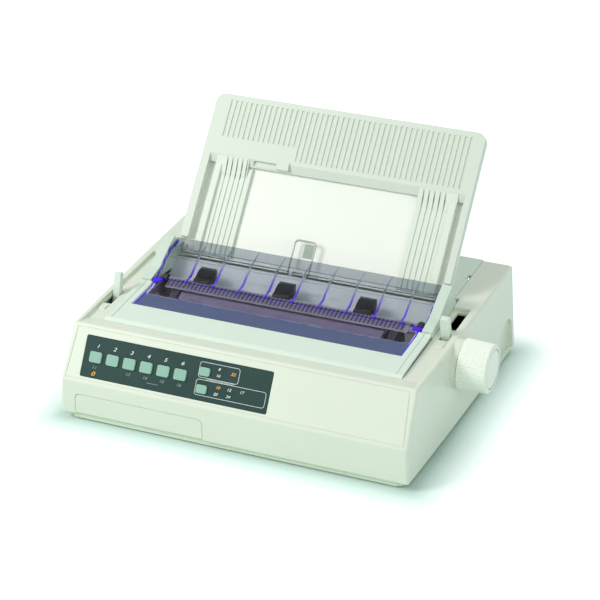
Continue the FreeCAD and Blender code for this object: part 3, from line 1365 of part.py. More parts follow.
def wire_clips():
    clips = []
    for x, sign in ((WIRE_LEFT_X + WIRE_FOOT_BEND, 1), (WIRE_RIGHT_X - WIRE_FOOT_BEND, -1)):
        x0 = min(x, x + sign * WIRE_CLIP_WIDTH)
        clip = rod_x(x0, x0 + WIRE_CLIP_WIDTH, WIRE_FOOT_Y, WIRE_FOOT_Z, WIRE_CLIP_RADIUS)
        base_y, base_z = guide_point(1, -GUIDE_THICK / 2)
        root = link_x(x0, x0 + WIRE_CLIP_WIDTH, base_y - GUIDE_THICK / 2, base_z - GUIDE_THICK / 2,
                      GUIDE_THICK / 2, WIRE_FOOT_Y, WIRE_FOOT_Z,
                      WIRE_CLIP_RADIUS - PRESS_GAP)
        clips.append(clip.fuse(root).cut(rod_x(x0 - OVERRUN, x0 + WIRE_CLIP_WIDTH + OVERRUN,
                                               WIRE_FOOT_Y, WIRE_FOOT_Z, WIRE_RADIUS + PRESS_GAP)))
    return clips


# A round bar along a line of points with rounded corners
def bent_wire(points, bends, radius):
    edges = []
    start = points[0]
    for i in range(1, len(points) - 1):
        corner = points[i]
        before = (points[i - 1] - corner).normalize()
        after = (points[i + 1] - corner).normalize()
        angle = before.getAngle(after)
        cut = bends[i - 1] / math.tan(angle / 2)
        a = corner + before * cut
        b = corner + after * cut
        centre = corner + (before + after).normalize() * (bends[i - 1] / math.sin(angle / 2))
        middle = centre + (corner - centre).normalize() * bends[i - 1]
        edges.append(Part.makeLine(start, a))
        edges.append(Part.Arc(a, middle, b).toShape())
        start = b
    edges.append(Part.makeLine(start, points[-1]))
    path = Part.Wire(edges)
    profile = Part.Wire([Part.makeCircle(radius, points[0], points[1] - points[0])])
    return path.makePipeShell([profile], True, False)


def wire_rest():
    lean = math.radians(PANEL_LEAN_DEG)
    top_y = WIRE_FOOT_Y + WIRE_LENGTH * math.cos(lean)
    top_z = WIRE_FOOT_Z + WIRE_LENGTH * math.sin(lean)
    points = [V(WIRE_LEFT_X + WIRE_FOOT_LENGTH, WIRE_FOOT_Y, WIRE_FOOT_Z),
              V(WIRE_LEFT_X, WIRE_FOOT_Y, WIRE_FOOT_Z),
              V(WIRE_LEFT_X, top_y, top_z), V(WIRE_RIGHT_X, top_y, top_z),
              V(WIRE_RIGHT_X, WIRE_FOOT_Y, WIRE_FOOT_Z),
              V(WIRE_RIGHT_X - WIRE_FOOT_LENGTH, WIRE_FOOT_Y, WIRE_FOOT_Z)]
    return bent_wire(points, [WIRE_FOOT_BEND, WIRE_BEND, WIRE_BEND, WIRE_FOOT_BEND], WIRE_RADIUS)


# Sheet support: a deep tray with a reeded band along its top
def separator_panel():
    deep = -SUPPORT_DEPTH
    body = box(-SUPPORT_HALF, SUPPORT_HALF, SUPPORT_NECK, SUPPORT_LENGTH + SUPPORT_LENGTH, deep, 0)
    body = body.common(round_edges(box(-SUPPORT_HALF, SUPPORT_HALF, -SUPPORT_LENGTH, SUPPORT_LENGTH,
                                       deep, 0), V(0, 0, 1), SUPPORT_CORNER))
    floor = SUPPORT_WALL - SUPPORT_DEPTH
    recess = prism_z([(FLANGE_INNER_LEFT + FLANGE_LEAD, SUPPORT_NECK - OVERRUN),
                      (FLANGE_INNER_RIGHT - FLANGE_LEAD, SUPPORT_NECK - OVERRUN),
                      (FLANGE_INNER_RIGHT, SUPPORT_NECK), (FLANGE_INNER_RIGHT, COVE_LOW),
                      (FLANGE_INNER_LEFT, COVE_LOW),
                      (FLANGE_INNER_LEFT, SUPPORT_NECK)], floor, OVERRUN)
    cove_z = floor + (0 - floor) * COVE_RISE_SHARE
    cove = prism([V(FLANGE_INNER_LEFT, y, z) for y, z in [(COVE_LOW - OVERRUN, floor),
                                                          (COVE_LOW, floor), (COVE_LOW, cove_z),
                                                          (BAND_LOW, 0),
                 (BAND_LOW, OVERRUN), (COVE_LOW - OVERRUN, OVERRUN)]],
                 V(FLANGE_INNER_RIGHT - FLANGE_INNER_LEFT, 0, 0))
    back = pill(BAND_EDGE - SUPPORT_HALF, SUPPORT_HALF - BAND_EDGE, BAND_LOW + BAND_EDGE,
                SUPPORT_LENGTH - BAND_EDGE, deep - OVERRUN,
                -BAND_PLATE - RIB_DEPTH, SUPPORT_CORNER - BAND_EDGE)
    neck = box(-SUPPORT_NECK_HALF, SUPPORT_NECK_HALF, SUPPORT_FOOT, SUPPORT_NECK + OVERRUN, deep, floor)
    parts = [neck]
    for sign in (-1, 1):
        x0 = sign * (SUPPORT_NECK_HALF - SUPPORT_HUB_RADIUS)
        x1 = sign * SUPPORT_NECK_HALF
        x2 = sign * SUPPORT_PIN_END_X
        parts.append(rod_x(min(x0, x1), max(x0, x1), SUPPORT_AXIS_UP, SUPPORT_AXIS_IN, SUPPORT_HUB_RADIUS))
        parts.append(rod_x(min(x0, x2), max(x0, x2), SUPPORT_AXIS_UP, SUPPORT_AXIS_IN, SUPPORT_PIN_RADIUS))
    groove = box(FLANGE_INNER_LEFT, FLANGE_INNER_RIGHT, COVE_LOW - OVERRUN,
                 COVE_LOW + TONGUE_RISE + TONGUE_GAP, floor,
                 floor + TONGUE_GAP + TONGUE_THICK + TONGUE_GAP)
    cuts = [recess, cove, back, groove] + rib_grooves()
    cuts.append(box(CLIP_HOLE_LEFT, CLIP_LEFT, CLIP_HOLE_LOW, CLIP_HOLE_HIGH,
                    -CLIP_HOLE_DEPTH - CLIP_HOLE_DEPTH, OVERRUN))
    cuts.append(box(WINDOW_LEFT, WINDOW_RIGHT, WINDOW_LOW, WINDOW_HIGH, deep - OVERRUN, OVERRUN))
    body = body.cut(cuts)
    clip = box(CLIP_LEFT, CLIP_RIGHT, CLIP_LOW, CLIP_HIGH, -CLIP_HOLE_DEPTH - CLIP_HOLE_DEPTH, CLIP_DEPTH)
    return on_support(join([body, clip] + parts))


def rib_grooves():
    cuts = []
    pitch = (RIB_RIGHT - RIB_LEFT) / RIB_COUNT
    gap = pitch * (1 - RIB_WIDTH_SHARE)
    for i in range(RIB_COUNT):
        x = RIB_LEFT + i * pitch + pitch * RIB_WIDTH_SHARE
        low = RIB_LOW_LEFT if x < RIB_GROUP_X else RIB_LOW
        cuts.append(box(x, x + gap, low, RIB_HIGH, -RIB_DEPTH, OVERRUN))
    return cuts


def sheet_guide(left, right, raised):
    floor = SUPPORT_WALL - SUPPORT_DEPTH + TONGUE_GAP
    top = floor + GUIDE_PLATE
    plate = box(left, right, GUIDE_BOTTOM, GUIDE_TOP, floor, top)
    tongue = box(left, right, GUIDE_TOP - OVERRUN, COVE_LOW + TONGUE_RISE, floor, floor + TONGUE_THICK)
    edge = box(right - GUIDE_EDGE, right, GUIDE_BOTTOM, GUIDE_TOP, floor, top + GUIDE_EDGE_RISE)
    if not raised:
        edge = box(left, left + GUIDE_EDGE, GUIDE_BOTTOM, GUIDE_TOP, floor, top + GUIDE_EDGE_RISE)
    edge = round_edges(edge, V(0, 1, 0), GUIDE_EDGE_RISE / 3)
    cuts = []
    span = (right - left - GUIDE_EDGE) / (GUIDE_GROOVE_COUNT + 1)
    start = left if raised else left + GUIDE_EDGE
    for i in range(GUIDE_GROOVE_COUNT):
        x = start + (i + 1) * span
        cuts.append(box(x - GUIDE_GROOVE_WIDTH / 2, x + GUIDE_GROOVE_WIDTH / 2, GUIDE_BOTTOM - OVERRUN,
                        GUIDE_TOP + OVERRUN,
                        top - GUIDE_GROOVE_DEPTH, top + OVERRUN))
    return on_support(join([plate, tongue, edge]).cut(cuts))


# Mechanism side plates, base and bushings
def idler_place():
    reach = PLATEN_GEAR_RADIUS + IDLER_GEAR_RADIUS
    turn = math.radians(IDLER_ANGLE_DEG)
    return (AXIS_Y + reach * math.cos(turn), AXIS_Z + reach * math.sin(turn))


def pinion_place():
    y, z = idler_place()
    reach = IDLER_GEAR_RADIUS + PINION_RADIUS
    turn = math.radians(PINION_ANGLE_DEG)
    return (y + reach * math.cos(turn), z + reach * math.sin(turn))


def side_plate(x0, x1):
    outline = [(FRAME_FRONT_Y, FRAME_BOTTOM_Z), (FRAME_REAR_Y, FRAME_BOTTOM_Z),
               (FRAME_REAR_Y, FRAME_BACK_Z),
               (GUIDE_LOW_Y, FRAME_BACK_Z), (FRAME_TOP_REAR_Y, GUIDE_LOW_Z - BUSH_FLANGE_RADIUS),
               (FRAME_TOP_REAR_Y, FRAME_TOP_Z),
               (FRAME_TOP_FRONT_Y, FRAME_TOP_Z), (FRAME_STEP_Y, FRAME_STEP_Z), (FRAME_FRONT_Y, FRAME_LOW_Z)]
    plate = prism_x(outline, x0, x1)
    cuts = [rod_x(x0 - OVERRUN, x1 + OVERRUN, AXIS_Y, AXIS_Z, BUSH_RADIUS + PRESS_GAP),
            rod_x(x0 - OVERRUN, x1 + OVERRUN, BAIL_AXIS_Y, BAIL_AXIS_Z, BAIL_PIN_RADIUS + RUN_GAP),
            rod_x(x0 - OVERRUN, x1 + OVERRUN, GUIDE_SHAFT_Y, GUIDE_SHAFT_Z, GUIDE_SHAFT_RADIUS + PRESS_GAP)]
    return plate.cut(cuts)


def frame_left():
    return side_plate(-FRAME_INNER_X - FRAME_THICK, -FRAME_INNER_X)


def frame_right():
    y, z = idler_place()
    motor_y, motor_z = pinion_place()
    plate = side_plate(FRAME_INNER_X, FRAME_INNER_X + FRAME_THICK)
    pin = rod_x(FRAME_INNER_X, GEAR_LEFT_X + GEAR_WIDTH + IDLER_PIN_OVER, y, z, IDLER_PIN_RADIUS)
    hole = rod_x(FRAME_INNER_X - OVERRUN, FRAME_INNER_X + FRAME_THICK + OVERRUN, motor_y, motor_z,
                 MOTOR_SHAFT_RADIUS + SEAT_GAP)
    return plate.fuse(pin).cut(hole)


def frame_base():
    plate = box(-FRAME_INNER_X, FRAME_INNER_X, FRAME_FRONT_Y, BASE_REAR_Y, BASE_Z, BASE_Z + BASE_THICK)
    cuts = [rod_z(BASE_Z - OVERRUN, BASE_Z + BASE_THICK + OVERRUN, -PULLEY_X, PULLEY_Y,
                  PULLEY_PIN_RADIUS + SEAT_GAP)]
    for sign in (-1, 0, 1):
        x = sign * BASE_HOLE_X
        cuts.append(pill(x - BASE_HOLE_LENGTH / 2, x + BASE_HOLE_LENGTH / 2,
                         BASE_HOLE_Y - BASE_HOLE_WIDTH / 2,
                         BASE_HOLE_Y + BASE_HOLE_WIDTH / 2, BASE_Z - OVERRUN,
                         BASE_Z + BASE_THICK + OVERRUN, PANEL_CORNER))
    pin = rod_z(BASE_Z, BELT_BOTTOM_Z + BELT_HEIGHT + PULLEY_FLANGE, PULLEY_X, PULLEY_Y, PULLEY_PIN_RADIUS)
    return plate.fuse(pin).cut(cuts)


def shaft_bushings():
    bushes = []
    for sign in (-1, 1):
        inner = FRAME_INNER_X - BUSH_FLANGE
        flange = rod_x(inner, FRAME_INNER_X, AXIS_Y, AXIS_Z, BUSH_FLANGE_RADIUS)
        sleeve = rod_x(inner, FRAME_INNER_X + FRAME_THICK + BUSH_OUT, AXIS_Y, AXIS_Z, BUSH_RADIUS)
        bore = rod_x(inner - OVERRUN, GEAR_LEFT_X, AXIS_Y, AXIS_Z, SHAFT_RADIUS + RUN_GAP)
        bush = flange.fuse(sleeve).cut(bore)
        bushes.append(bush if sign > 0 else mirror_x(bush))
    return group(bushes)


# Platen, pin wheels, gears and knob
def platen_shaft():
    return rod_x(SHAFT_LEFT_X, SHAFT_RIGHT_X, AXIS_Y, AXIS_Z, SHAFT_RADIUS)


def platen_rubber():
    rubber = rod_x(-PLATEN_HALF, PLATEN_HALF, AXIS_Y, AXIS_Z, PLATEN_RADIUS)
    return rubber.cut(rod_x(-PLATEN_HALF, PLATEN_HALF, AXIS_Y, AXIS_Z, SHAFT_RADIUS + PRESS_GAP))


def sprocket_wheels():
    wheels = []
    for sign in (-1, 1):
        x = sign * WHEEL_CENTRE_X
        parts = [rod_x(x - WHEEL_HALF, x + WHEEL_HALF, AXIS_Y, AXIS_Z, WHEEL_RADIUS)]
        hub = sign * (WHEEL_CENTRE_X + WHEEL_HALF + WHEEL_HUB_LENGTH)
        parts.append(rod_x(min(x, hub), max(x, hub), AXIS_Y, AXIS_Z, WHEEL_HUB_RADIUS))
        for i in range(PIN_COUNT):
            turn = 2 * math.pi * (i + 1 / 4) / PIN_COUNT
            out = V(0, math.cos(turn), math.sin(turn))
            base = V(x, AXIS_Y, AXIS_Z) + out * (WHEEL_RADIUS - WHEEL_RADIUS / 8)
            tall = PIN_RISE + PLATEN_RADIUS - WHEEL_RADIUS + WHEEL_RADIUS / 8
            parts.append(Part.makeCone(PIN_RADIUS, PIN_TIP_RADIUS, tall, base, out))
        wheel = join(parts).cut(rod_x(-SHAFT_RIGHT_X, SHAFT_RIGHT_X, AXIS_Y, AXIS_Z,
                                      SHAFT_RADIUS + PRESS_GAP))
        wheels.append(wheel)
    return group(wheels)


def gear(teeth, y, z, x0, x1, turn):
    radius = GEAR_MODULE * teeth / 2
    pitch = 2 * math.pi / teeth
    outline = []
    for i in range(teeth):
        middle = turn + i * pitch
        root = radius - GEAR_MODULE * TOOTH_DEDENDUM_SHARE
        tip = radius + GEAR_MODULE * TOOTH_ADDENDUM_SHARE
        for r, share in ((root, -TOOTH_ROOT_SHARE), (tip, -TOOTH_TIP_SHARE), (tip, TOOTH_TIP_SHARE),
                         (root, TOOTH_ROOT_SHARE)):
            angle = middle + share * pitch
            outline.append((y + r * math.cos(angle), z + r * math.sin(angle)))
    return prism_x(outline, x0, x1)


def platen_gear():
    turn = math.radians(IDLER_ANGLE_DEG)
    wheel = gear(PLATEN_TEETH_COUNT, AXIS_Y, AXIS_Z, GEAR_LEFT_X, GEAR_LEFT_X + GEAR_WIDTH, turn)
    return wheel.cut(rod_x(GEAR_LEFT_X - OVERRUN, GEAR_LEFT_X + GEAR_WIDTH + OVERRUN, AXIS_Y, AXIS_Z,
                           SHAFT_RADIUS + PRESS_GAP))


def idler_turn():
    return math.radians(IDLER_ANGLE_DEG) + math.pi + math.pi / IDLER_TEETH_COUNT


def idler_gear():
    y, z = idler_place()
    wheel = gear(IDLER_TEETH_COUNT, y, z, GEAR_LEFT_X, GEAR_LEFT_X + GEAR_WIDTH, idler_turn())
    return wheel.cut(rod_x(GEAR_LEFT_X - OVERRUN, GEAR_LEFT_X + GEAR_WIDTH + OVERRUN, y, z,
                           IDLER_PIN_RADIUS + RUN_GAP))


def motor_pinion():
    y, z = pinion_place()
    toward = math.radians(PINION_ANGLE_DEG)
    pitch = 2 * math.pi / IDLER_TEETH_COUNT
    offset = ((toward - idler_turn()) / pitch) % 1.0
    turn = toward + math.pi + (offset + 1 / 2) * 2 * math.pi / PINION_TEETH_COUNT
    wheel = gear(PINION_TEETH_COUNT, y, z, GEAR_LEFT_X, GEAR_LEFT_X + GEAR_WIDTH, turn)
    shaft = rod_x(FRAME_INNER_X - MOTOR_BORE_DEPTH + OVERRUN, GEAR_LEFT_X + GEAR_WIDTH, y, z,
                  MOTOR_SHAFT_RADIUS)
    return wheel.fuse(shaft)


def feed_motor():
    y, z = pinion_place()
    can = rod_x(FRAME_INNER_X - MOTOR_LENGTH, FRAME_INNER_X - MOTOR_PLATE_THICK, y, z, MOTOR_RADIUS)
    half = MOTOR_PLATE / 2
    plate = box(FRAME_INNER_X - MOTOR_PLATE_THICK, FRAME_INNER_X, y - half / 2, y + MOTOR_RADIUS,
                z - half / 2, z + half / 2)
    bore = rod_x(FRAME_INNER_X - MOTOR_BORE_DEPTH, FRAME_INNER_X + OVERRUN, y, z,
                 MOTOR_SHAFT_RADIUS + RUN_GAP)
    return join([can, plate]).cut(bore)


def platen_knob():
    x0 = COLLAR_FACE_X + KNOB_GAP
    x1 = KNOB_END_X - KNOB_EDGE

    def star(x, radius, turn):
        points = []
        for i in range(2 * KNOB_RIB_COUNT):
            r = radius - (KNOB_RIB_DEPTH if i % 2 else 0)
            angle = turn + math.pi * i / KNOB_RIB_COUNT
            points.append(V(x, AXIS_Y + r * math.cos(angle), AXIS_Z + r * math.sin(angle)))
        return Part.makePolygon(points + [points[0]])
    grip = Part.makeLoft([star(x0, KNOB_RADIUS, 0),
                          star(x1, KNOB_END_RADIUS, math.radians(KNOB_TWIST_DEG))],
                         True, True)
    inner = KNOB_END_RADIUS - KNOB_RIB_DEPTH
    cap = Part.makeCone(inner, inner - KNOB_EDGE, KNOB_EDGE, V(x1, AXIS_Y, AXIS_Z), V(1, 0, 0))
    body = grip.fuse(cap)
    ring = rod_x(KNOB_END_X - KNOB_RING_DEPTH, KNOB_END_X + OVERRUN, AXIS_Y, AXIS_Z, KNOB_RING_OUTER)
    ring = ring.cut(rod_x(KNOB_END_X - KNOB_EDGE, KNOB_END_X + WALL, AXIS_Y, AXIS_Z, KNOB_RING_INNER))
    return body.cut([ring, rod_x(x0 - OVERRUN, SHAFT_RIGHT_X, AXIS_Y, AXIS_Z, SHAFT_RADIUS + PRESS_GAP)])


# Paper bail, its lever and the feed lever
def bail_frame():
    parts = []
    for sign in (-1, 1):
        arm = link_x(BAIL_ARM_INNER_X, BAIL_ARM_OUTER_X, BAIL_AXIS_Y, BAIL_AXIS_Z, BAIL_HUB_RADIUS,
                     BAIL_TOP_Y, BAIL_TOP_Z, BAIL_TOP_RADIUS)
        pin = rod_x(BAIL_ARM_INNER_X, FRAME_INNER_X + FRAME_THICK, BAIL_AXIS_Y, BAIL_AXIS_Z,
                    BAIL_PIN_RADIUS)
        arm = arm.fuse(pin)
        parts.append(arm if sign > 0 else mirror_x(arm))
    parts.append(rod_x(-BAIL_ARM_OUTER_X, BAIL_ARM_OUTER_X, BAIL_TOP_Y, BAIL_TOP_Z, BAIL_SHAFT_RADIUS))
    return join(parts)


def bail_rollers():
    rollers = []
    for i in range(BAIL_ROLLER_COUNT):
        x = BAIL_ROLLER_FIRST_X + i * BAIL_ROLLER_PITCH
        half = BAIL_ROLLER_WIDTH / 2
        roller = rod_x(x - half, x + half, BAIL_TOP_Y, BAIL_TOP_Z, BAIL_ROLLER_RADIUS)
        rollers.append(roller.cut(rod_x(x - half, x + half, BAIL_TOP_Y, BAIL_TOP_Z,
                                        BAIL_SHAFT_RADIUS + PRESS_GAP)))
    return group(rollers)


def lever_blade(x0, x1, y, z, top_y, top_z):
    run = math.hypot(top_y - y, top_z - z)
    along = ((top_y - y) / run, (top_z - z) / run)
    outline = []
    for side in (-1, 1):
        root = (y - side * LEVER_ROOT_HALF * along[1], z + side * LEVER_ROOT_HALF * along[0])
        tip = (top_y - side * LEVER_TIP_HALF * along[1], top_z + side * LEVER_TIP_HALF * along[0])
        outline += [root, tip] if side < 0 else [tip, root]
    blade = prism_x(outline, x0, x1)
    top = [e for e in blade.Edges if e.BoundBox.ZMin > top_z - LEVER_TIP_HALF]
    blade = blade.makeFillet(LEVER_TIP_HALF / 3, top)
    hub = rod_x(x0, x1, y, z, LEVER_HUB_RADIUS)
    return blade.fuse(hub).cut(rod_x(x0 - OVERRUN, x1 + OVERRUN, y, z, LEVER_STUB_RADIUS + RUN_GAP))


def bail_lever():
    return lever_blade(BAIL_TAB_LEFT_X, BAIL_TAB_RIGHT_X, BAIL_LEVER_Y, BAIL_LEVER_Z, BAIL_TAB_TOP_Y,
                       BAIL_TAB_TOP_Z)


def paper_lever():
    blade = lever_blade(PAPER_TAB_LEFT_X, PAPER_TAB_RIGHT_X, PAPER_LEVER_Y, PAPER_LEVER_Z,
                        PAPER_TAB_TOP_Y, PAPER_TAB_TOP_Z)
    outline = []
    for radius, first, last in ((SHIELD_OUTER, SHIELD_FRONT_DEG, SHIELD_REAR_DEG),
                                (SHIELD_INNER, SHIELD_REAR_DEG, SHIELD_FRONT_DEG)):
        middle = (first + last) / 2
        points = []
        for degrees in (first, middle, last):
            turn = math.radians(degrees)
            points.append(V(PAPER_TAB_LEFT_X, PAPER_LEVER_Y + radius * math.cos(turn),
                            PAPER_LEVER_Z + radius * math.sin(turn)))
        outline.append(points)
    outer, inner = outline
    wire = Part.Wire([Part.Arc(*outer).toShape(), Part.makeLine(outer[2], inner[0]),
                      Part.Arc(*inner).toShape(),
                      Part.makeLine(inner[2], outer[0])])
    shield = Part.Face(wire).extrude(V(PAPER_TAB_RIGHT_X - PAPER_TAB_LEFT_X, 0, 0))
    return join([blade, shield])


# Rule bar and feed chute
def ruler_bar():
    bar = prism_x(strip([(RULE_FRONT_Y, RULE_FRONT_Z), (RULE_REAR_Y, RULE_REAR_Z)], RULE_THICK),
                  -RULE_HALF, RULE_HALF)
    ears = box(-FRAME_INNER_X, FRAME_INNER_X, RULE_FRONT_Y - RULE_EAR_DEPTH, RULE_FRONT_Y + RULE_THICK / 2,
               RULE_FRONT_Z - RULE_THICK - RULE_THICK / 4, RULE_FRONT_Z - RULE_THICK / 4)
    return join([bar, ears])


def paper_chute():
    def ring_point(radius, degrees):
        turn = math.radians(degrees)
        return V(-CHUTE_HALF, AXIS_Y + radius * math.cos(turn), AXIS_Z + radius * math.sin(turn))
    outer = CHUTE_RADIUS + CHUTE_THICK
    middle = (CHUTE_START_DEG + CHUTE_END_DEG) / 2
    inner_arc = Part.Arc(*[ring_point(CHUTE_RADIUS, d) for d in (CHUTE_START_DEG, middle,
            CHUTE_END_DEG)]).toShape()
    outer_arc = Part.Arc(*[ring_point(outer, d) for d in (CHUTE_END_DEG, middle,
                                                          CHUTE_START_DEG)]).toShape()
    near = ring_point(CHUTE_RADIUS, CHUTE_END_DEG)
    near_outer = ring_point(outer, CHUTE_END_DEG)
    far = V(-CHUTE_HALF, CHUTE_END_Y, CHUTE_END_Z)
    far_low = far - V(0, 0, CHUTE_THICK)
    wire = Part.Wire([inner_arc, Part.makeLine(near, far), Part.makeLine(far, far_low),
                      Part.makeLine(far_low, near_outer),
                      outer_arc, Part.makeLine(ring_point(outer, CHUTE_START_DEG),
                                               ring_point(CHUTE_RADIUS, CHUTE_START_DEG))])
    sheet = Part.Face(wire).extrude(V(CHUTE_HALF + CHUTE_HALF, 0, 0))
    low = AXIS_Z - outer
    tab = box(-FRAME_INNER_X, FRAME_INNER_X, AXIS_Y - CHUTE_TAB / 2, AXIS_Y + CHUTE_TAB / 2,
              low - CHUTE_TAB_THICK / 2, low + CHUTE_TAB_THICK / 2)
    return join([sheet, tab])


# Carriage with its guides, belt and pulleys
def guide_shaft():
    reach = FRAME_INNER_X + FRAME_THICK
    return rod_x(-reach, reach, GUIDE_SHAFT_Y, GUIDE_SHAFT_Z, GUIDE_SHAFT_RADIUS)


def front_rail():
    top = RAIL_Z + RAIL_THICK
    rail = box(-FRAME_INNER_X, FRAME_INNER_X, RAIL_FRONT_Y, RAIL_REAR_Y, RAIL_Z, top)
    tabs = []
    for sign in (-1, 1):
        inner = sign * (FRAME_INNER_X - RAIL_THICK)
        outer = sign * FRAME_INNER_X
        tabs.append(box(min(inner, outer), max(inner, outer), RAIL_FRONT_Y, RAIL_REAR_Y, top - RAIL_TAB,
                        top))
    return join([rail] + tabs)


def carriage():
    x = CARRIAGE_X
    block = box(x - CARRIAGE_HALF, x + CARRIAGE_HALF, CARRIAGE_FRONT_Y, CARRIAGE_REAR_Y,
                CARRIAGE_BOTTOM_Z, CARRIAGE_TOP_Z)
    block = round_edges(block, V(1, 0, 0), PANEL_CORNER)
    level = RAIL_Z + RAIL_THICK + FORK_GAP + FORK_PLATE
    arm = box(x - FORK_HALF, x + FORK_HALF, FORK_FRONT_Y, CARRIAGE_FRONT_Y + PANEL_CORNER,
              RAIL_Z - FORK_GAP - FORK_PLATE, level)
    slot = box(x - FORK_HALF - OVERRUN, x + FORK_HALF + OVERRUN, FORK_FRONT_Y - OVERRUN,
               RAIL_REAR_Y + OVERRUN,
               RAIL_Z - FORK_GAP, RAIL_Z + RAIL_THICK + FORK_GAP)
    belt_y = PULLEY_Y + PULLEY_RADIUS + BELT_THICK / 2
    grip = BELT_THICK / 2 + BELT_GAP
    clamp = box(x - CLAMP_HALF, x + CLAMP_HALF, belt_y - grip - CLAMP_WALL,
                CARRIAGE_FRONT_Y + PANEL_CORNER, CARRIAGE_BOTTOM_Z, CLAMP_TOP_Z)
    gap = box(x - CLAMP_HALF - OVERRUN, x + CLAMP_HALF + OVERRUN, belt_y - grip, belt_y + grip,
              CARRIAGE_BOTTOM_Z - OVERRUN,
              BELT_BOTTOM_Z + BELT_HEIGHT + BELT_GAP)
    cradles = []
    for sign in (-1, 1):
        edge = x + sign * RIBBON_HALF
        inner = edge - sign * CRADLE_WIDTH
        side = x + sign * (CARRIAGE_HALF - CRADLE_THICK)
        x0, x1 = min(edge, side), max(edge, side)
        cradles.append(box(x0, x1, CARRIAGE_FRONT_Y, CARRIAGE_REAR_Y, CARRIAGE_TOP_Z - CRADLE_THICK,
                           CARRIAGE_TOP_Z))
        x0, x1 = min(edge, inner), max(edge, inner)
        cradles.append(box(x0, x1, CARRIAGE_FRONT_Y + CRADLE_WIDTH,
                           CARRIAGE_FRONT_Y + CRADLE_WIDTH + CRADLE_THICK,
                           CARRIAGE_TOP_Z - CRADLE_THICK, RIBBON_ARM_BOTTOM_Z))
    bore = rod_x(x - CARRIAGE_HALF - OVERRUN, x + CARRIAGE_HALF + OVERRUN, GUIDE_SHAFT_Y, GUIDE_SHAFT_Z,
                 GUIDE_SHAFT_RADIUS + RUN_GAP)
    return join([block, arm, clamp] + cradles).cut([slot, gap, bore])


def print_head():
    x = CARRIAGE_X
    body = rod_y(HEAD_FRONT_Y, HEAD_REAR_Y, x, AXIS_Z, HEAD_RADIUS)
    step = (HEAD_REAR_Y - HEAD_FRONT_Y) / (HEAD_FIN_COUNT + 1)
    grooves = []
    for i in range(HEAD_FIN_COUNT):
        y = HEAD_FRONT_Y + (i + 1) * step
        outer = rod_y(y, y + HEAD_FIN_GAP, x, AXIS_Z, HEAD_RADIUS + OVERRUN)
        grooves.append(outer.cut(rod_y(y, y + HEAD_FIN_GAP, x, AXIS_Z, HEAD_RADIUS - HEAD_FIN_DEPTH)))
    body = body.cut(grooves)
    base = box(x - HEAD_BASE_HALF, x + HEAD_BASE_HALF, CARRIAGE_FRONT_Y + HEAD_BASE_INSET / 2,
               CARRIAGE_REAR_Y - HEAD_BASE_INSET,
               CARRIAGE_TOP_Z, AXIS_Z - HEAD_RADIUS / 2)
    nose = Part.makeCone(NOSE_ROOT_RADIUS, NOSE_RADIUS, NOSE_Y - HEAD_REAR_Y + OVERRUN,
                         V(x, HEAD_REAR_Y - OVERRUN, AXIS_Z), V(0, 1, 0))
    return join([body, base, nose])


def ribbon_cartridge():
    x = CARRIAGE_X
    case = pill(x - RIBBON_HALF, x + RIBBON_HALF, RIBBON_BOX_FRONT_Y, RIBBON_BOX_REAR_Y,
                RIBBON_BOTTOM_Z, RIBBON_TOP_Z, RIBBON_CORNER)
    parts = [case]
    for sign in (-1, 1):
        edge = x + sign * RIBBON_HALF
        inner = edge - sign * RIBBON_ARM_WIDTH
        x0, x1 = min(edge, inner), max(edge, inner)
        outline = [(x0, RIBBON_BOX_REAR_Y - RIBBON_CORNER), (x1, RIBBON_BOX_REAR_Y - RIBBON_CORNER),
                   (x1, RIBBON_ARM_REAR_Y - RIBBON_CORNER)]
        tip = edge - sign * RIBBON_ARM_WIDTH / 3
        if sign > 0:
            outline += [(tip + RIBBON_THICK, RIBBON_Y), (tip - RIBBON_THICK, RIBBON_Y),
                        (x0, RIBBON_ARM_REAR_Y - RIBBON_CORNER)]
        else:
            outline += [(tip + RIBBON_THICK, RIBBON_Y), (tip - RIBBON_THICK, RIBBON_Y),
                        (x0, RIBBON_ARM_REAR_Y - RIBBON_CORNER)]
        parts.append(prism_z(outline, RIBBON_ARM_BOTTOM_Z, RIBBON_ARM_TOP_Z))
    knob = rod_z(RIBBON_TOP_Z, RIBBON_TOP_Z + RIBBON_KNOB_HEIGHT, x - RIBBON_HALF / 2,
                 (RIBBON_BOX_FRONT_Y + RIBBON_BOX_REAR_Y) / 2, RIBBON_KNOB_RADIUS)
    return join(parts + [knob])


def ribbon_band():
    x = CARRIAGE_X
    half = RIBBON_HALF - RIBBON_ARM_WIDTH / 3 + RIBBON_THICK
    return box(x - half, x + half, RIBBON_Y, RIBBON_Y + RIBBON_THICK, RIBBON_BAND_BOTTOM_Z,
               RIBBON_BAND_BOTTOM_Z + RIBBON_BAND_HEIGHT)


def belt_loop(radius, low, high):
    left = rod_z(low, high, -PULLEY_X, PULLEY_Y, radius)
    right = rod_z(low, high, PULLEY_X, PULLEY_Y, radius)
    return join([box(-PULLEY_X, PULLEY_X, PULLEY_Y - radius, PULLEY_Y + radius, low, high), left, right])


def drive_belt():
    high = BELT_BOTTOM_Z + BELT_HEIGHT
    return belt_loop(PULLEY_RADIUS + BELT_THICK, BELT_BOTTOM_Z, high).cut(belt_loop(PULLEY_RADIUS,
            BELT_BOTTOM_Z - OVERRUN, high + OVERRUN))


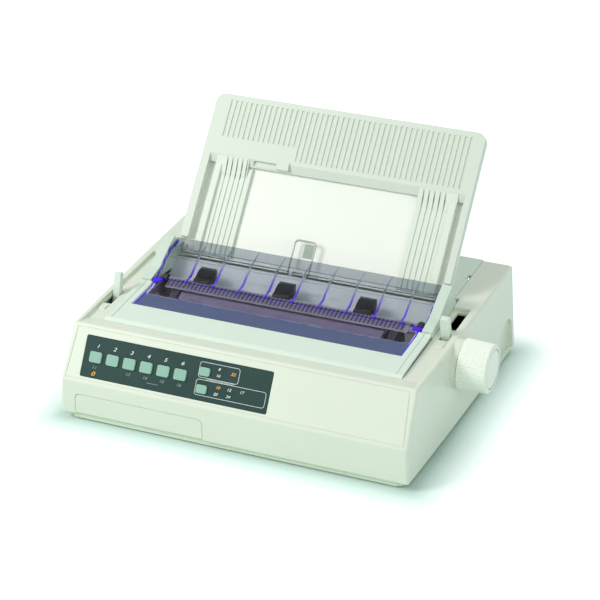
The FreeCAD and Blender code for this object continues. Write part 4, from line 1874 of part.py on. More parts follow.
def pulley(x, bore):
    low = BELT_BOTTOM_Z - SEAT_GAP
    high = BELT_BOTTOM_Z + BELT_HEIGHT + SEAT_GAP
    parts = [rod_z(low - PULLEY_FLANGE, high + PULLEY_FLANGE, x, PULLEY_Y, PULLEY_RADIUS - RUN_GAP),
             rod_z(low - PULLEY_FLANGE, low, x, PULLEY_Y, PULLEY_RADIUS + PULLEY_RIM),
             rod_z(high, high + PULLEY_FLANGE, x, PULLEY_Y, PULLEY_RADIUS + PULLEY_RIM)]
    body = join(parts)
    if bore:
        return body.cut(rod_z(low - WALL, high + WALL, x, PULLEY_Y, PULLEY_PIN_RADIUS + RUN_GAP))
    return join([body, rod_z(CARRIAGE_MOTOR_BOTTOM_Z + PULLEY_RADIUS, high, x, PULLEY_Y,
                             PULLEY_PIN_RADIUS)])


def motor_pulley():
    return pulley(-PULLEY_X, False)


def idler_pulley():
    return pulley(PULLEY_X, True)


def carriage_motor():
    can = rod_z(CARRIAGE_MOTOR_BOTTOM_Z, BASE_Z, -PULLEY_X, PULLEY_Y, CARRIAGE_MOTOR_RADIUS)
    low_edges = [e for e in can.Edges if e.BoundBox.ZMax < CARRIAGE_MOTOR_BOTTOM_Z + OVERRUN]
    can = can.makeFillet(PANEL_CORNER, low_edges)
    return can.cut(rod_z(CARRIAGE_MOTOR_BOTTOM_Z + PULLEY_RADIUS - OVERRUN, BASE_Z + OVERRUN, -PULLEY_X,
                         PULLEY_Y, PULLEY_PIN_RADIUS + RUN_GAP))


# Electrics
def transformer():
    x0 = TRANSFORMER_LEFT_X
    x1 = x0 + TRANSFORMER_WIDTH
    y0 = TRANSFORMER_FRONT_Y
    y1 = y0 + TRANSFORMER_DEPTH
    z0 = TRAY_BOTTOM_Z + TRAY_FLOOR
    z1 = z0 + TRANSFORMER_HEIGHT
    inset = TRANSFORMER_COIL_INSET
    bulge = TRANSFORMER_COIL_BULGE
    core = box(x0, x1, y0 + bulge, y1 - bulge, z0, z1)
    coil = pill(x0 + inset, x1 - inset, y0, y1, z0 + inset, z1 - inset, RIBBON_CORNER)
    plate = box(x0 - TRANSFORMER_FOOT, x1 + TRANSFORMER_FOOT, y0 + bulge, y1 - bulge, z0,
                z0 + TRANSFORMER_FOOT_THICK)
    return join([core, coil, plate])


def board_posts():
    inset = MAIN_BOARD_POST_INSET
    return [(x, y) for x in (MAIN_BOARD_LEFT_X + inset, MAIN_BOARD_RIGHT_X - inset)
            for y in (MAIN_BOARD_FRONT_Y + inset, MAIN_BOARD_REAR_Y - inset)]


def main_board():
    top = MAIN_BOARD_Z + BOARD_THICK
    board = box(MAIN_BOARD_LEFT_X, MAIN_BOARD_RIGHT_X, MAIN_BOARD_FRONT_Y, MAIN_BOARD_REAR_Y,
                MAIN_BOARD_Z, top)
    parts = [board]
    for i in range(CHIP_COUNT):
        x = MAIN_BOARD_LEFT_X + CHIP_PITCH + CHIP_PITCH * i
        y = MAIN_BOARD_FRONT_Y + CHIP_WIDTH
        parts.append(box(x, x + CHIP_WIDTH, y, y + CHIP_LENGTH, top, top + CHIP_HEIGHT))
    x = MAIN_BOARD_RIGHT_X - CHIP_PITCH - CAN_RADIUS
    parts.append(rod_z(top, top + CAN_HEIGHT, x, MAIN_BOARD_FRONT_Y + CHIP_PITCH, CAN_RADIUS))
    return join(parts)


# Mains inlet with the switch surround in one moulding
def power_inlet():
    x0 = ROCKER_LEFT_X - ROCKER_GAP - INLET_WALL
    x1 = INLET_LEFT_X + INLET_WIDTH
    z0 = INLET_BOTTOM_Z
    z1 = z0 + INLET_HEIGHT
    edge = INLET_FLANGE
    flange = round_edges(box(x0 - edge, x1 + edge, CASE_DEPTH, CASE_DEPTH + INLET_FLANGE_THICK,
                             z0 - edge, z1 + edge), V(0, 1, 0), PANEL_CORNER)
    body = box(x0, x1, CASE_DEPTH - INLET_DEPTH, CASE_DEPTH + INLET_FLANGE_THICK, z0, z1)
    wall = INLET_WALL
    front = CASE_DEPTH + INLET_FLANGE_THICK + OVERRUN
    socket = round_edges(box(INLET_LEFT_X, x1 - wall, CASE_DEPTH - INLET_DEPTH + wall, front, z0 + wall,
                             z1 - wall), V(0, 1, 0), PANEL_CORNER)
    rz = rocker_axis()[1]
    half = ROCKER_HEIGHT / 2 + ROCKER_GAP
    window = box(ROCKER_LEFT_X - ROCKER_GAP, ROCKER_LEFT_X + ROCKER_WIDTH + ROCKER_GAP,
                 CASE_DEPTH - INLET_DEPTH + wall, front, rz - half, rz + half)
    pivots = rod_x(ROCKER_LEFT_X - ROCKER_PIN_LENGTH - ROCKER_GAP,
                   ROCKER_LEFT_X + ROCKER_WIDTH + ROCKER_PIN_LENGTH + ROCKER_GAP,
                   rocker_axis()[0], rz, ROCKER_PIN_RADIUS + RUN_GAP)
    shell = join([flange, body]).cut([socket, window, pivots])
    pins = []
    middle = (INLET_LEFT_X + x1 - wall) / 2
    for i in (-1, 0, 1):
        x = middle + i * INLET_PIN_PITCH
        z = (z0 + z1) / 2 + (INLET_PIN_PITCH / 4 if i == 0 else -INLET_PIN_PITCH / 4)
        y = CASE_DEPTH - INLET_DEPTH + wall / 2
        pins.append(box(x - INLET_PIN_HALF, x + INLET_PIN_HALF, y, y + INLET_PIN_LENGTH,
                        z - INLET_PIN_HALF - INLET_PIN_HALF, z + INLET_PIN_HALF + INLET_PIN_HALF))
    return join([shell] + pins)


def rocker_axis():
    return (CASE_DEPTH - ROCKER_DEPTH / 2, INLET_BOTTOM_Z + INLET_HEIGHT / 2)


def power_switch():
    y, z = rocker_axis()
    half = ROCKER_HEIGHT / 2
    face = CASE_DEPTH + INLET_FLANGE_THICK
    outline = [(CASE_DEPTH - ROCKER_DEPTH, z - half / 2), (CASE_DEPTH - ROCKER_DEPTH, z + half / 2),
               (y, z + half - ROCKER_GAP),
               (face + ROCKER_RISE, z + half - ROCKER_SIDE), (face + ROCKER_RISE / 3, z),
               (face + ROCKER_RISE / 3, z - half + ROCKER_SIDE),
               (y, z - half + ROCKER_GAP)]
    body = prism_x(outline, ROCKER_LEFT_X, ROCKER_LEFT_X + ROCKER_WIDTH)
    reach = ROCKER_PIN_LENGTH
    return body.fuse(rod_x(ROCKER_LEFT_X - reach, ROCKER_LEFT_X + ROCKER_WIDTH + reach, y, z,
                           ROCKER_PIN_RADIUS))


def interface_connector():
    x0 = PORT_LEFT_X
    x1 = x0 + PORT_WIDTH
    z0 = PORT_BOTTOM_Z
    z1 = z0 + PORT_HEIGHT
    edge = PORT_FLANGE
    front = CASE_DEPTH + PORT_FLANGE_THICK + PORT_RISE
    flange = box(x0 - edge, x1 + edge, CASE_DEPTH, CASE_DEPTH + PORT_FLANGE_THICK, z0 - PANEL_GAP,
                 z1 + PANEL_GAP)
    slant = PORT_HEIGHT / 5

    def shell(grow, y0, y1):
        outline = [(x0 + slant - grow, z0 - grow), (x1 - slant + grow, z0 - grow),
                   (x1 + grow, z1 + grow), (x0 - grow, z1 + grow)]
        return prism_y(outline, y0, y1)
    body = shell(-PORT_WALL, CASE_DEPTH - PORT_DEPTH, front)
    hole = shell(-PORT_WALL - PORT_WALL, CASE_DEPTH - PORT_DEPTH / 2, front + OVERRUN)
    middle = (z0 + z1) / 2
    tongue = box(x0 + edge, x1 - edge, CASE_DEPTH - PORT_DEPTH / 2 - OVERRUN, front - OVERRUN,
                 middle - PORT_TONGUE / 2, middle + PORT_TONGUE / 2)
    clips = []
    for x in (x0 - edge / 2, x1 + edge / 2):
        clips.append(rod_y(CASE_DEPTH, front, x, middle, PORT_CLIP_RADIUS))
    return join([join([flange, body]).cut(hole), tongue] + clips)


NODES = {
    "upper_case": upper_case, "lower_case": lower_case, "rubber_feet": rubber_feet,
    "case_screws": case_screws,
    "control_panel": control_panel, "indicator_lamps": indicator_lamps, "panel_board": panel_board,
    "front_cover": front_cover, "rear_cover": rear_cover, "access_cover": access_cover,
    "access_window": access_window,
    "platen_cover": platen_cover, "visor": visor, "separator_panel": separator_panel,
    "wire_rest": wire_rest,
    "frame_left": frame_left, "frame_right": frame_right, "frame_base": frame_base,
    "shaft_bushings": shaft_bushings,
    "platen_shaft": platen_shaft, "platen_rubber": platen_rubber, "sprocket_wheels": sprocket_wheels,
    "platen_gear": platen_gear, "idler_gear": idler_gear, "motor_pinion": motor_pinion,
    "feed_motor": feed_motor,
    "platen_knob": platen_knob, "bail_frame": bail_frame, "bail_rollers": bail_rollers,
    "bail_lever": bail_lever,
    "paper_lever": paper_lever, "ruler_bar": ruler_bar, "paper_chute": paper_chute,
    "guide_shaft": guide_shaft,
    "front_rail": front_rail, "carriage": carriage, "print_head": print_head,
    "ribbon_cartridge": ribbon_cartridge,
    "ribbon_band": ribbon_band, "drive_belt": drive_belt, "motor_pulley": motor_pulley,
    "idler_pulley": idler_pulley,
    "carriage_motor": carriage_motor, "transformer": transformer, "main_board": main_board,
    "power_inlet": power_inlet,
    "power_switch": power_switch, "interface_connector": interface_connector,
}


def build():
    shapes = {name: make() for name, make in NODES.items()}
    shapes["sheet_guide_left"] = sheet_guide(GUIDE_L_LEFT, GUIDE_L_RIGHT, False)
    shapes["sheet_guide_right"] = sheet_guide(GUIDE_R_LEFT, GUIDE_R_RIGHT, True)
    for i, place in enumerate(button_places()):
        shapes["button_" + str(i + 1)] = button_solid(place)
    return shapes


def main():
    os.makedirs("parts", exist_ok=True)
    shapes = build()
    whole = group(list(shapes.values())).optimalBoundingBox(False)
    x = -(whole.XMin + whole.XMax) / 2
    y = -(whole.YMin + whole.YMax) / 2
    for name, shape in shapes.items():
        placed = moved(shape, x, y, -whole.ZMin)
        placed.exportStep("parts/" + name + ".step")
    print("shift", round(x, 4), round(y, 4), round(-whole.ZMin, 4))
    print("size", round(whole.XLength, 2), round(whole.YLength, 2), round(whole.ZLength, 2))


main()
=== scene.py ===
# %% [markdown]
# A desktop dot matrix printer, dressed for a studio picture. The solids come from the
# frame that was packed from the construction model. This lesson gives them finishes,
# and models the thin trim that a maker would print, weld or clip on afterwards.

# %% Load the frame
import math

import bmesh
import bpy
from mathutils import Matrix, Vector


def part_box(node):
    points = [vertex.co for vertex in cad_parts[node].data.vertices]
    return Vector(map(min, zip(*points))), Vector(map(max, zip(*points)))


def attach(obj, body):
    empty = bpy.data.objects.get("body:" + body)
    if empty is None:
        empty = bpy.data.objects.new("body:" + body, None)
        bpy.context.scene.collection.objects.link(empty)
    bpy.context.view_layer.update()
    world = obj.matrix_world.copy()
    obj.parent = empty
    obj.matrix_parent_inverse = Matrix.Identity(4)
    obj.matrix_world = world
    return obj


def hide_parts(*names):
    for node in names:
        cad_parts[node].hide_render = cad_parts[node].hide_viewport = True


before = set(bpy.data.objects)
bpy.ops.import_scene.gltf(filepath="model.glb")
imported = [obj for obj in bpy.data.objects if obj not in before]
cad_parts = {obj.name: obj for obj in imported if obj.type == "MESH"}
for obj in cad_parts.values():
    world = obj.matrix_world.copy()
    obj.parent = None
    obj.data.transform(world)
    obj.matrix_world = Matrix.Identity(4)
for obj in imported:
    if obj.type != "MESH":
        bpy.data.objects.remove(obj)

bpy.ops.object.select_all(action="DESELECT")
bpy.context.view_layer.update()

# %% [markdown]
# The drawing of the machine is measured in millimetres from the middle of its front
# lower edge. The frame is measured in metres from under the middle of the whole thing.
# The platen is a plain roller whose middle is known in both, so it ties them together.

# %% From the drawing to the frame
MM = 0.001
PLATEN_PLACE = Vector((0.0, 130.3, 69.7))
platen_low, platen_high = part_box("platen_rubber")
platen_middle = (platen_low + platen_high) / 2


def at(x, y, z):
    """A point of the drawing, in the frame."""
    return platen_middle + (Vector((x, y, z)) - PLATEN_PLACE) * MM


print("the drawing's origin lies at", tuple(round(c, 4) for c in at(0, 0, 0)))

# %% [markdown]
# A printer on a desk is looked at from a little above and from its front right. The
# lens is long, as a product photographer's is, so that the edges stay nearly parallel.

# %% Camera
bpy.ops.object.camera_add(location=(0.70626, -1.71189, 1.03561))
camera = bpy.context.object
camera.name = "Camera"
camera.rotation_euler = (math.radians(63.022), 0.0, math.radians(22.661))
camera.data.lens = 128.0
camera.data.sensor_width = 36.0
camera.data.shift_x = 0.0021
camera.data.shift_y = -0.00095
bpy.context.scene.camera = camera
print("the lens is", camera.data.lens, "mm long")

# %% [markdown]
# Soft light comes from a large lamp at the front left, as from a window, with a weak
# one on the right and one behind. The shadow then falls to the right, soft and pale.

# %% Lamps
LAMPS = (
    ("Window", (-1.45, -1.25, 1.5), 1.0, 35.0, (1.0, 0.995, 0.97)),
    ("Right fill", (1.7, -1.1, 0.8), 1.4, 11.0, (0.93, 1.0, 0.99)),
    ("Behind", (0.3, 1.5, 1.9), 1.5, 8.0, (0.97, 1.0, 0.99)),
)
AIM = Vector((0.0, 0.0, 0.06))
for name, place, width, power, colour in LAMPS:
    bpy.ops.object.light_add(type="AREA", location=place)
    lamp = bpy.context.object
    lamp.name = name
    lamp.data.size = width
    lamp.data.energy = power
    lamp.data.color = colour
    lamp.rotation_euler = (AIM - Vector(place)).to_track_quat("-Z", "Y").to_euler()
print("lamps:", len(LAMPS))

# %% [markdown]
# Every shader below is a tree of nodes, so a few helpers keep that short. The first
# turns a colour of a paint chart into the shader's own scale. The others add a node and
# fill its sockets, each with a plain value or with another node and its output.


# %% Helpers for shaders
def linear(red, green, blue):
    """A colour as a paint chart gives it, 0 to 255, as the shader wants it."""
    parts = []
    for value in (red, green, blue):
        v = value / 255
        parts.append(v / 12.92 if v <= 0.04045 else ((v + 0.055) / 1.055) ** 2.4)
    return (*parts, 1.0)


def feed(tree, node, sockets):
    """Fills sockets of a node, each with a value or with (node, output)."""
    for name, value in sockets.items():
        if isinstance(value, tuple) and isinstance(value[0], bpy.types.Node):
            source, output = value
            tree.links.new(source.outputs[output], node.inputs[name])
        else:
            node.inputs[name].default_value = value


def add(tree, kind, place, sockets=None, **settings):
    """One node in a tree. Its settings come first, because they can change its sockets."""
    node = tree.nodes.new(kind)
    node.location = place
    for name, value in settings.items():
        setattr(node, name, value)
    feed(tree, node, sockets or {})
    return node


print("plain red for a shader:", linear(255, 0, 0))

# %% [markdown]
# Sums, vectors and mixes come up again and again, so these nodes get short names. So
# does the test for a ray that looks at a thing, and isn't light on its way between two.


# %% Short names for nodes
def maths(tree, place, operation, *values):
    """A Math node with its inputs in order."""
    return add(tree, "ShaderNodeMath", place, dict(enumerate(values)), operation=operation)


def vectors(tree, place, operation, *values):
    """A Vector Math node with its inputs in order."""
    return add(tree, "ShaderNodeVectorMath", place, dict(enumerate(values)),
               operation=operation)


def blend(tree, place, factor, first, second):
    """A mix of two colours. Its result is its output number 2."""
    return add(tree, "ShaderNodeMix", place, {"Factor": factor, 6: first, 7: second},
               data_type="RGBA")


def plain_rays(tree):
    """1 where the camera, a glossy surface or glass looks, and 0 for other light."""
    path = add(tree, "ShaderNodeLightPath", (-900, 0))
    first = maths(tree, (-700, 0), "MAXIMUM", (path, "Is Camera Ray"),
                  (path, "Is Glossy Ray"))
    return maths(tree, (-500, 0), "MAXIMUM", (first, 0), (path, "Is Transmission Ray"))


# %% [markdown]
# The air of the studio is a pale grey that fills the shadows, while the camera and
# glossy surfaces see plain white. Light Path tells the two kinds of ray apart.

# %% Studio air
world = bpy.data.worlds.new("Studio air")
world.use_nodes = True
bpy.context.scene.world = world
air = world.node_tree
air.nodes.clear()
fill = add(air, "ShaderNodeBackground", (-300, 100),
           {"Color": (0.9, 1.0, 0.985, 1.0), "Strength": 0.45})
white = add(air, "ShaderNodeBackground", (-300, -100),
            {"Color": (1.0, 1.0, 1.0, 1.0), "Strength": 1.0})
choice = add(air, "ShaderNodeMixShader", (-100, 0),
             {0: (plain_rays(air), 0), 1: (fill, 0), 2: (white, 0)})
add(air, "ShaderNodeOutputWorld", (100, 0), {"Surface": (choice, 0)})
print("nodes of the air:", len(air.nodes))

# %% [markdown]
# The table is one wide pale sheet. It glows a little to the camera, so that it meets the
# white air with no line. The glow fades out close to the machine, where the real table
# is dark with contact shadow, so the table is painted darker there as a painted contact
# shadow; the mask is the distance from the machine's footprint.

# %% Table
GLOW_LEVEL = 0.75
GLOW_FADE = 0.05
bpy.ops.mesh.primitive_plane_add(size=14.0, location=(0.0, 0.0, 0.0))
table = bpy.context.object
table.name = "Table"
bpy.ops.object.mode_set(mode="EDIT")
bpy.ops.mesh.subdivide(number_cuts=3)
bpy.ops.object.mode_set(mode="OBJECT")
paper = bpy.data.materials.new("Pale table")
paper.use_nodes = True
sheet = paper.node_tree
sheet.nodes.clear()
low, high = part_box("lower_case")
middle = ((low.x + high.x) / 2, (low.y + high.y) / 2, 0.0)
halves = ((high.x - low.x) / 2, (high.y - low.y) / 2, 0.0)
spot = add(sheet, "ShaderNodeTexCoord", (-1900, -250))
away = vectors(sheet, (-1700, -250), "SUBTRACT", (spot, "Object"), middle)
sides = vectors(sheet, (-1500, -250), "ABSOLUTE", (away, 0))
beyond = vectors(sheet, (-1300, -250), "SUBTRACT", (sides, 0), halves)
outside = vectors(sheet, (-1100, -250), "MAXIMUM", (beyond, 0), (0.0, 0.0, 0.0))
gap = vectors(sheet, (-900, -250), "LENGTH", (outside, 0))
# weaker glow near the machine: painted contact shadow
level = add(sheet, "ShaderNodeMapRange", (-700, -250),
            {"Value": (gap, "Value"), "From Max": GLOW_FADE, "To Max": GLOW_LEVEL})
seen = maths(sheet, (-500, -50), "MULTIPLY", (plain_rays(sheet), 0), (level, "Result"))
glow = add(sheet, "ShaderNodeEmission", (-300, -50),
           {"Color": (0.97, 1.0, 1.0, 1.0), "Strength": (seen, 0)})
matt = add(sheet, "ShaderNodeBsdfDiffuse", (-300, 150), {"Color": linear(207, 227, 221)})
together = add(sheet, "ShaderNodeAddShader", (-100, 50), {0: (matt, 0), 1: (glow, 0)})
add(sheet, "ShaderNodeOutputMaterial", (100, 50), {"Surface": (together, 0)})
table.data.materials.append(paper)
bpy.context.scene.view_settings.view_transform = "Standard"
print("the table glows in full from", GLOW_FADE, "m beyond the machine")

# %% [markdown]
# Moulded plastic is never quite smooth: the mould is etched, which leaves a fine grain,
# and the tone drifts a little over a large wall. Both are one effect that many pieces
# share, so they go into a node group with named sockets, and each material sets its own
# values. The pattern reads Object coordinates, so it stays on the piece when it moves.

# %% Effect: moulded grain
FLOAT, COLOUR, VECTOR = "NodeSocketFloat", "NodeSocketColor", "NodeSocketVector"
PALE = (0.8, 0.8, 0.8, 1.0)


def new_group(title, sockets_in, sockets_out):
    """An empty shader group with its sockets, and its two end nodes."""
    group = bpy.data.node_groups.new(title, "ShaderNodeTree")
    for kind, name, value in sockets_in:
        made = group.interface.new_socket(name=name, in_out="INPUT", socket_type=kind)
        made.default_value = value
    for kind, name in sockets_out:
        group.interface.new_socket(name=name, in_out="OUTPUT", socket_type=kind)
    start = add(group, "NodeGroupInput", (-1100, 0))
    end = add(group, "NodeGroupOutput", (500, 0))
    print("effect:", title)
    return group, start, end


grain_group, start, end = new_group(
    "Moulded grain",
    ((COLOUR, "Colour", PALE), (FLOAT, "Grains per metre", 1500.0),
     (FLOAT, "Tone drift", 0.04), (FLOAT, "Roughness", 0.5), (FLOAT, "Gloss change", 0.1)),
    ((COLOUR, "Colour"), (FLOAT, "Roughness"), (FLOAT, "Height")),
)
coords = add(grain_group, "ShaderNodeTexCoord", (-1100, 300))
grained = {"Vector": (coords, "Object"), "Scale": (start, "Grains per metre")}
fine = add(grain_group, "ShaderNodeTexNoise", (-850, 300), {**grained, "Detail": 3.0})
cells = add(grain_group, "ShaderNodeTexVoronoi", (-850, 0), grained, feature="SMOOTH_F1")
broad = add(grain_group, "ShaderNodeTexNoise", (-850, -300),
            {"Vector": (coords, "Object"), "Scale": 22.0, "Detail": 3.0})
bumps = maths(grain_group, (-600, 200), "MULTIPLY_ADD", (cells, "Distance"), 0.5,
              (fine, "Fac"))
drift = maths(grain_group, (-600, -200), "SUBTRACT", (broad, "Fac"), 0.5)
share = maths(grain_group, (-420, -200), "MULTIPLY_ADD", (drift, 0), (start, "Tone drift"),
              1.0)
toned = add(grain_group, "ShaderNodeVectorMath", (-200, 0),
            {0: (start, "Colour"), "Scale": (share, 0)}, operation="SCALE")
gloss = maths(grain_group, (-420, -400), "SUBTRACT", (fine, "Fac"), 0.5)
rough = maths(grain_group, (-200, -300), "MULTIPLY_ADD", (gloss, 0),
              (start, "Gloss change"), (start, "Roughness"))
feed(grain_group, end, {"Colour": (toned, "Vector"), "Roughness": (rough, 0),
                        "Height": (bumps, 0)})

# %% [markdown]
# Every edge that left a mould is rounded by a few tenths of a millimetre, which shows
# as a thin line of light. The Bevel node finds such edges while it renders. It gives a
# normal that turns over the edge, and where it differs from the flat one is an edge
# mask, which rubs the paint or the shine a little.

# %% Effect: rounded edges
edge_group, start, end = new_group(
    "Rounded edges",
    ((FLOAT, "Radius", 0.0004), (COLOUR, "Colour", PALE), (FLOAT, "Rub", 0.1)),
    ((COLOUR, "Colour"), (VECTOR, "Normal")),
)
turned = add(edge_group, "ShaderNodeBevel", (-800, 200), {"Radius": (start, "Radius")},
             samples=4)
shape = add(edge_group, "ShaderNodeNewGeometry", (-800, -50))
match = vectors(edge_group, (-600, 50), "DOT_PRODUCT", (turned, "Normal"),
                (shape, "Normal"))
mask = add(edge_group, "ShaderNodeMapRange", (-400, 50),
           {"Value": (match, "Value"), "From Min": 1.0, "From Max": 0.8})
share = maths(edge_group, (-200, 50), "MULTIPLY_ADD", (mask, "Result"), (start, "Rub"), 1.0)
rubbed = add(edge_group, "ShaderNodeVectorMath", (50, 0),
             {0: (start, "Colour"), "Scale": (share, 0)}, operation="SCALE")
feed(edge_group, end, {"Colour": (rubbed, "Vector"), "Normal": (turned, "Normal")})

# %% [markdown]
# Dust settles on what faces up and stays in no pattern at all. The mask is the upward
# share of the normal, broken by noise. It dulls the shine and greys the colour.

# %% Effect: settled dust
dust_group, start, end = new_group(
    "Settled dust",
    ((COLOUR, "Colour", PALE), (COLOUR, "Dust", (0.6, 0.6, 0.56, 1.0)),
     (FLOAT, "Amount", 0.1), (FLOAT, "Roughness", 0.5)),
    ((COLOUR, "Colour"), (FLOAT, "Roughness")),
)
coords = add(dust_group, "ShaderNodeTexCoord", (-1100, 300))
specks = add(dust_group, "ShaderNodeTexNoise", (-850, 300),
             {"Vector": (coords, "Object"), "Scale": 90.0, "Detail": 8.0})
shape = add(dust_group, "ShaderNodeNewGeometry", (-1100, -150))
parts = add(dust_group, "ShaderNodeSeparateXYZ", (-850, -150), {0: (shape, "Normal")})
upward = maths(dust_group, (-650, -150), "MAXIMUM", (parts, "Z"), 0.0)
spread = maths(dust_group, (-450, 100), "MULTIPLY", (specks, "Fac"), (upward, 0))
layer = maths(dust_group, (-250, 100), "MULTIPLY", (spread, 0), (start, "Amount"))
greyed = blend(dust_group, (0, 100), (layer, 0), (start, "Colour"), (start, "Dust"))
duller = maths(dust_group, (0, -150), "ADD", (start, "Roughness"), (layer, 0))
feed(dust_group, end, {"Colour": (greyed, 2), "Roughness": (duller, 0)})

# %% [markdown]
# Drawn bars and rolled sheets carry fine lines along the way they were pulled. A noise
# that is stretched a hundredfold on one axis makes them, and it also moves the shine.

# %% Effect: drawn lines
drawn_group, start, end = new_group(
    "Drawn lines",
    ((VECTOR, "Lines per metre", (40.0, 4000.0, 4000.0)), (FLOAT, "Roughness", 0.3),
     (FLOAT, "Gloss change", 0.2)),
    ((FLOAT, "Roughness"), (FLOAT, "Height")),
)
coords = add(drawn_group, "ShaderNodeTexCoord", (-1100, 300))
stretch = vectors(drawn_group, (-850, 200), "MULTIPLY", (coords, "Object"),
                  (start, "Lines per metre"))
lines = add(drawn_group, "ShaderNodeTexNoise", (-600, 200),
            {"Vector": (stretch, 0), "Scale": 1.0, "Detail": 2.0})
shine = maths(drawn_group, (-350, -50), "MULTIPLY_ADD", (lines, "Fac"),
              (start, "Gloss change"), (start, "Roughness"))
feed(drawn_group, end, {"Roughness": (shine, 0), "Height": (lines, "Fac")})

# %% [markdown]
# Each finish starts as an empty material, takes up some of the shared effects, and ends
# in a Bump node, which turns a height into relief. Plain numbers are set on the shader's
# own sockets, so that they survive the trip to another program.


# %% Tools for materials
def empty_material(name):
    """A new material with its tree and its shader."""
    material = bpy.data.materials.new(name)
    material.use_nodes = True
    tree = material.node_tree
    print("material:", name)
    return material, tree, tree.nodes["Principled BSDF"]


def effect(tree, group, place, sockets):
    """One of the shared effects, placed in a tree."""
    return add(tree, "ShaderNodeGroup", place, sockets, node_tree=group)


def grain_on(tree, place, colour, grains, drift, roughness, change=0.1):
    """The moulded grain, which is the first step of most finishes."""
    return effect(tree, grain_group, place,
                  {"Colour": linear(*colour), "Grains per metre": grains,
                   "Tone drift": drift, "Roughness": roughness, "Gloss change": change})


def bump_on(tree, shader, height, depth, normal=None):
    """Turns a height into the shader's normal, on top of another normal if there is one."""
    sockets = {"Distance": depth, "Strength": 1.0, "Height": height}
    if normal is not None:
        sockets["Normal"] = normal
    bump = add(tree, "ShaderNodeBump", (-250, -350), sockets)
    feed(tree, shader, {"Normal": (bump, "Normal")})


# %% [markdown]
# Most of the machine is one satin plastic in a warm off-white. A helper makes each
# plastic from three of the effects: grain first, then dust, then the edges, whose turned
# normal goes under the grain's relief.


# %% Plastics
def plastic(name, colour, roughness, grain=1500.0, depth=0.00002, dust=0.12, rub=0.08,
            edge=0.0004, drift=0.05, specular=0.5):
    """A moulded plastic: grain, dust, rubbed edges."""
    material, tree, shader = empty_material(name)
    base = grain_on(tree, (-1100, 100), colour, grain, drift, roughness)
    settled = effect(tree, dust_group, (-850, 100),
                     {"Amount": dust, "Colour": (base, "Colour"),
                      "Roughness": (base, "Roughness")})
    rounded = effect(tree, edge_group, (-600, 100),
                     {"Radius": edge, "Rub": rub, "Colour": (settled, "Colour")})
    feed(tree, shader, {"Base Color": (rounded, "Colour"),
                        "Roughness": (settled, "Roughness"),
                        "Specular IOR Level": specular})
    bump_on(tree, shader, (base, "Height"), depth, (rounded, "Normal"))
    return material


SUPPORT_TONE, KNOB_TONE = (214, 221, 208), (243, 247, 236)
case_cream = plastic("Case cream", (225, 229, 214), 0.34, depth=0.000025, dust=0.06)
tray_cream = plastic("Tray cream", (228, 236, 214), 0.38, depth=0.00003, dust=0.03)
cover_cream = plastic("Cover cream", (219, 232, 219), 0.4, dust=0.07)
support_cream = plastic("Support cream", SUPPORT_TONE, 0.45, dust=0.04, drift=0.03)
guide_cream = plastic("Guide cream", (222, 229, 216), 0.45, dust=0.03, drift=0.03)
knob_cream = plastic("Knob cream", KNOB_TONE, 0.5, grain=1100.0, depth=0.00004)
key_green = plastic("Key grey-green", (136, 179, 162), 0.38, edge=0.0005, rub=0.12)
black_moulding = plastic("Black moulding", (20, 21, 25), 0.42, rub=0.6, dust=0.04)
hood_black = plastic("Hood black", (9, 11, 22), 0.3, specular=0.3, rub=0.5, dust=0.0)
nylon = plastic("White nylon", (228, 228, 216), 0.35, grain=700.0, rub=0.05)
laminate = plastic("Green laminate", (30, 92, 56), 0.35, grain=2600.0, rub=0.4)
motor_black = plastic("Black motor paint", (40, 41, 43), 0.3, grain=900.0, rub=1.2)
iron = plastic("Varnished iron", (74, 66, 58), 0.35, grain=500.0, rub=0.8)
# the pocket floor's darker grey is painted shade
pocket_painted_shade = plastic("Pocket grey", (150, 166, 152), 0.5)
violet_grey = plastic("Violet grey bar", (82, 80, 94), 0.45)
scale_grey = plastic("Scale grey", (122, 128, 126), 0.35, rub=0.1)

# %% [markdown]
# Sheet steel for the chassis is zinc plated and dull. Shafts are ground across their
# length and shine. The wire loop is drawn thin and bright.


# %% Metals
def metal(name, colour, roughness, lines, depth=0.00001, change=0.2):
    """A metal with the lines of its making along one axis."""
    material, tree, shader = empty_material(name)
    base = grain_on(tree, (-1100, 250), colour, 400.0, 0.12, roughness)
    drawn = effect(tree, drawn_group, (-1100, -150),
                   {"Lines per metre": lines, "Roughness": roughness,
                    "Gloss change": change})
    rounded = effect(tree, edge_group, (-600, 100),
                     {"Radius": 0.00025, "Rub": 0.25, "Colour": (base, "Colour")})
    feed(tree, shader, {"Base Color": (rounded, "Colour"),
                        "Roughness": (drawn, "Roughness"), "Metallic": 1.0})
    bump_on(tree, shader, (drawn, "Height"), depth, (rounded, "Normal"))
    return material


zinc = metal("Plated sheet", (178, 182, 186), 0.38, (900.0, 60.0, 900.0))
ground = metal("Ground shaft", (198, 200, 205), 0.16, (3000.0, 40.0, 40.0))
wire = metal("Bright wire", (150, 158, 152), 0.36, (900.0, 900.0, 60.0))
cast = metal("Cast head body", (116, 119, 124), 0.5, (900.0, 900.0, 900.0), 0.00006, 0.3)

# %% [markdown]
# Rubber is matt and a little dusty. The platen is ground round, which leaves rings of
# fine scratches, so its lines run round the roller and not along it.


# %% Rubbers and cloth
def rubber(name, colour, roughness, lines, depth):
    """A matt rubber or cloth, with lines over its grain."""
    material, tree, shader = empty_material(name)
    base = grain_on(tree, (-1100, 100), colour, 2200.0, 0.25, roughness)
    settled = effect(tree, dust_group, (-850, 100),
                     {"Amount": 0.05, "Colour": (base, "Colour"),
                      "Roughness": (base, "Roughness")})
    rings = effect(tree, drawn_group, (-1100, -250), {"Lines per metre": lines})
    both = maths(tree, (-600, -250), "ADD", (base, "Height"), (rings, "Height"))
    feed(tree, shader, {"Base Color": (settled, "Colour"),
                        "Roughness": (settled, "Roughness"), "Specular IOR Level": 0.35})
    bump_on(tree, shader, (both, 0), depth)
    return material


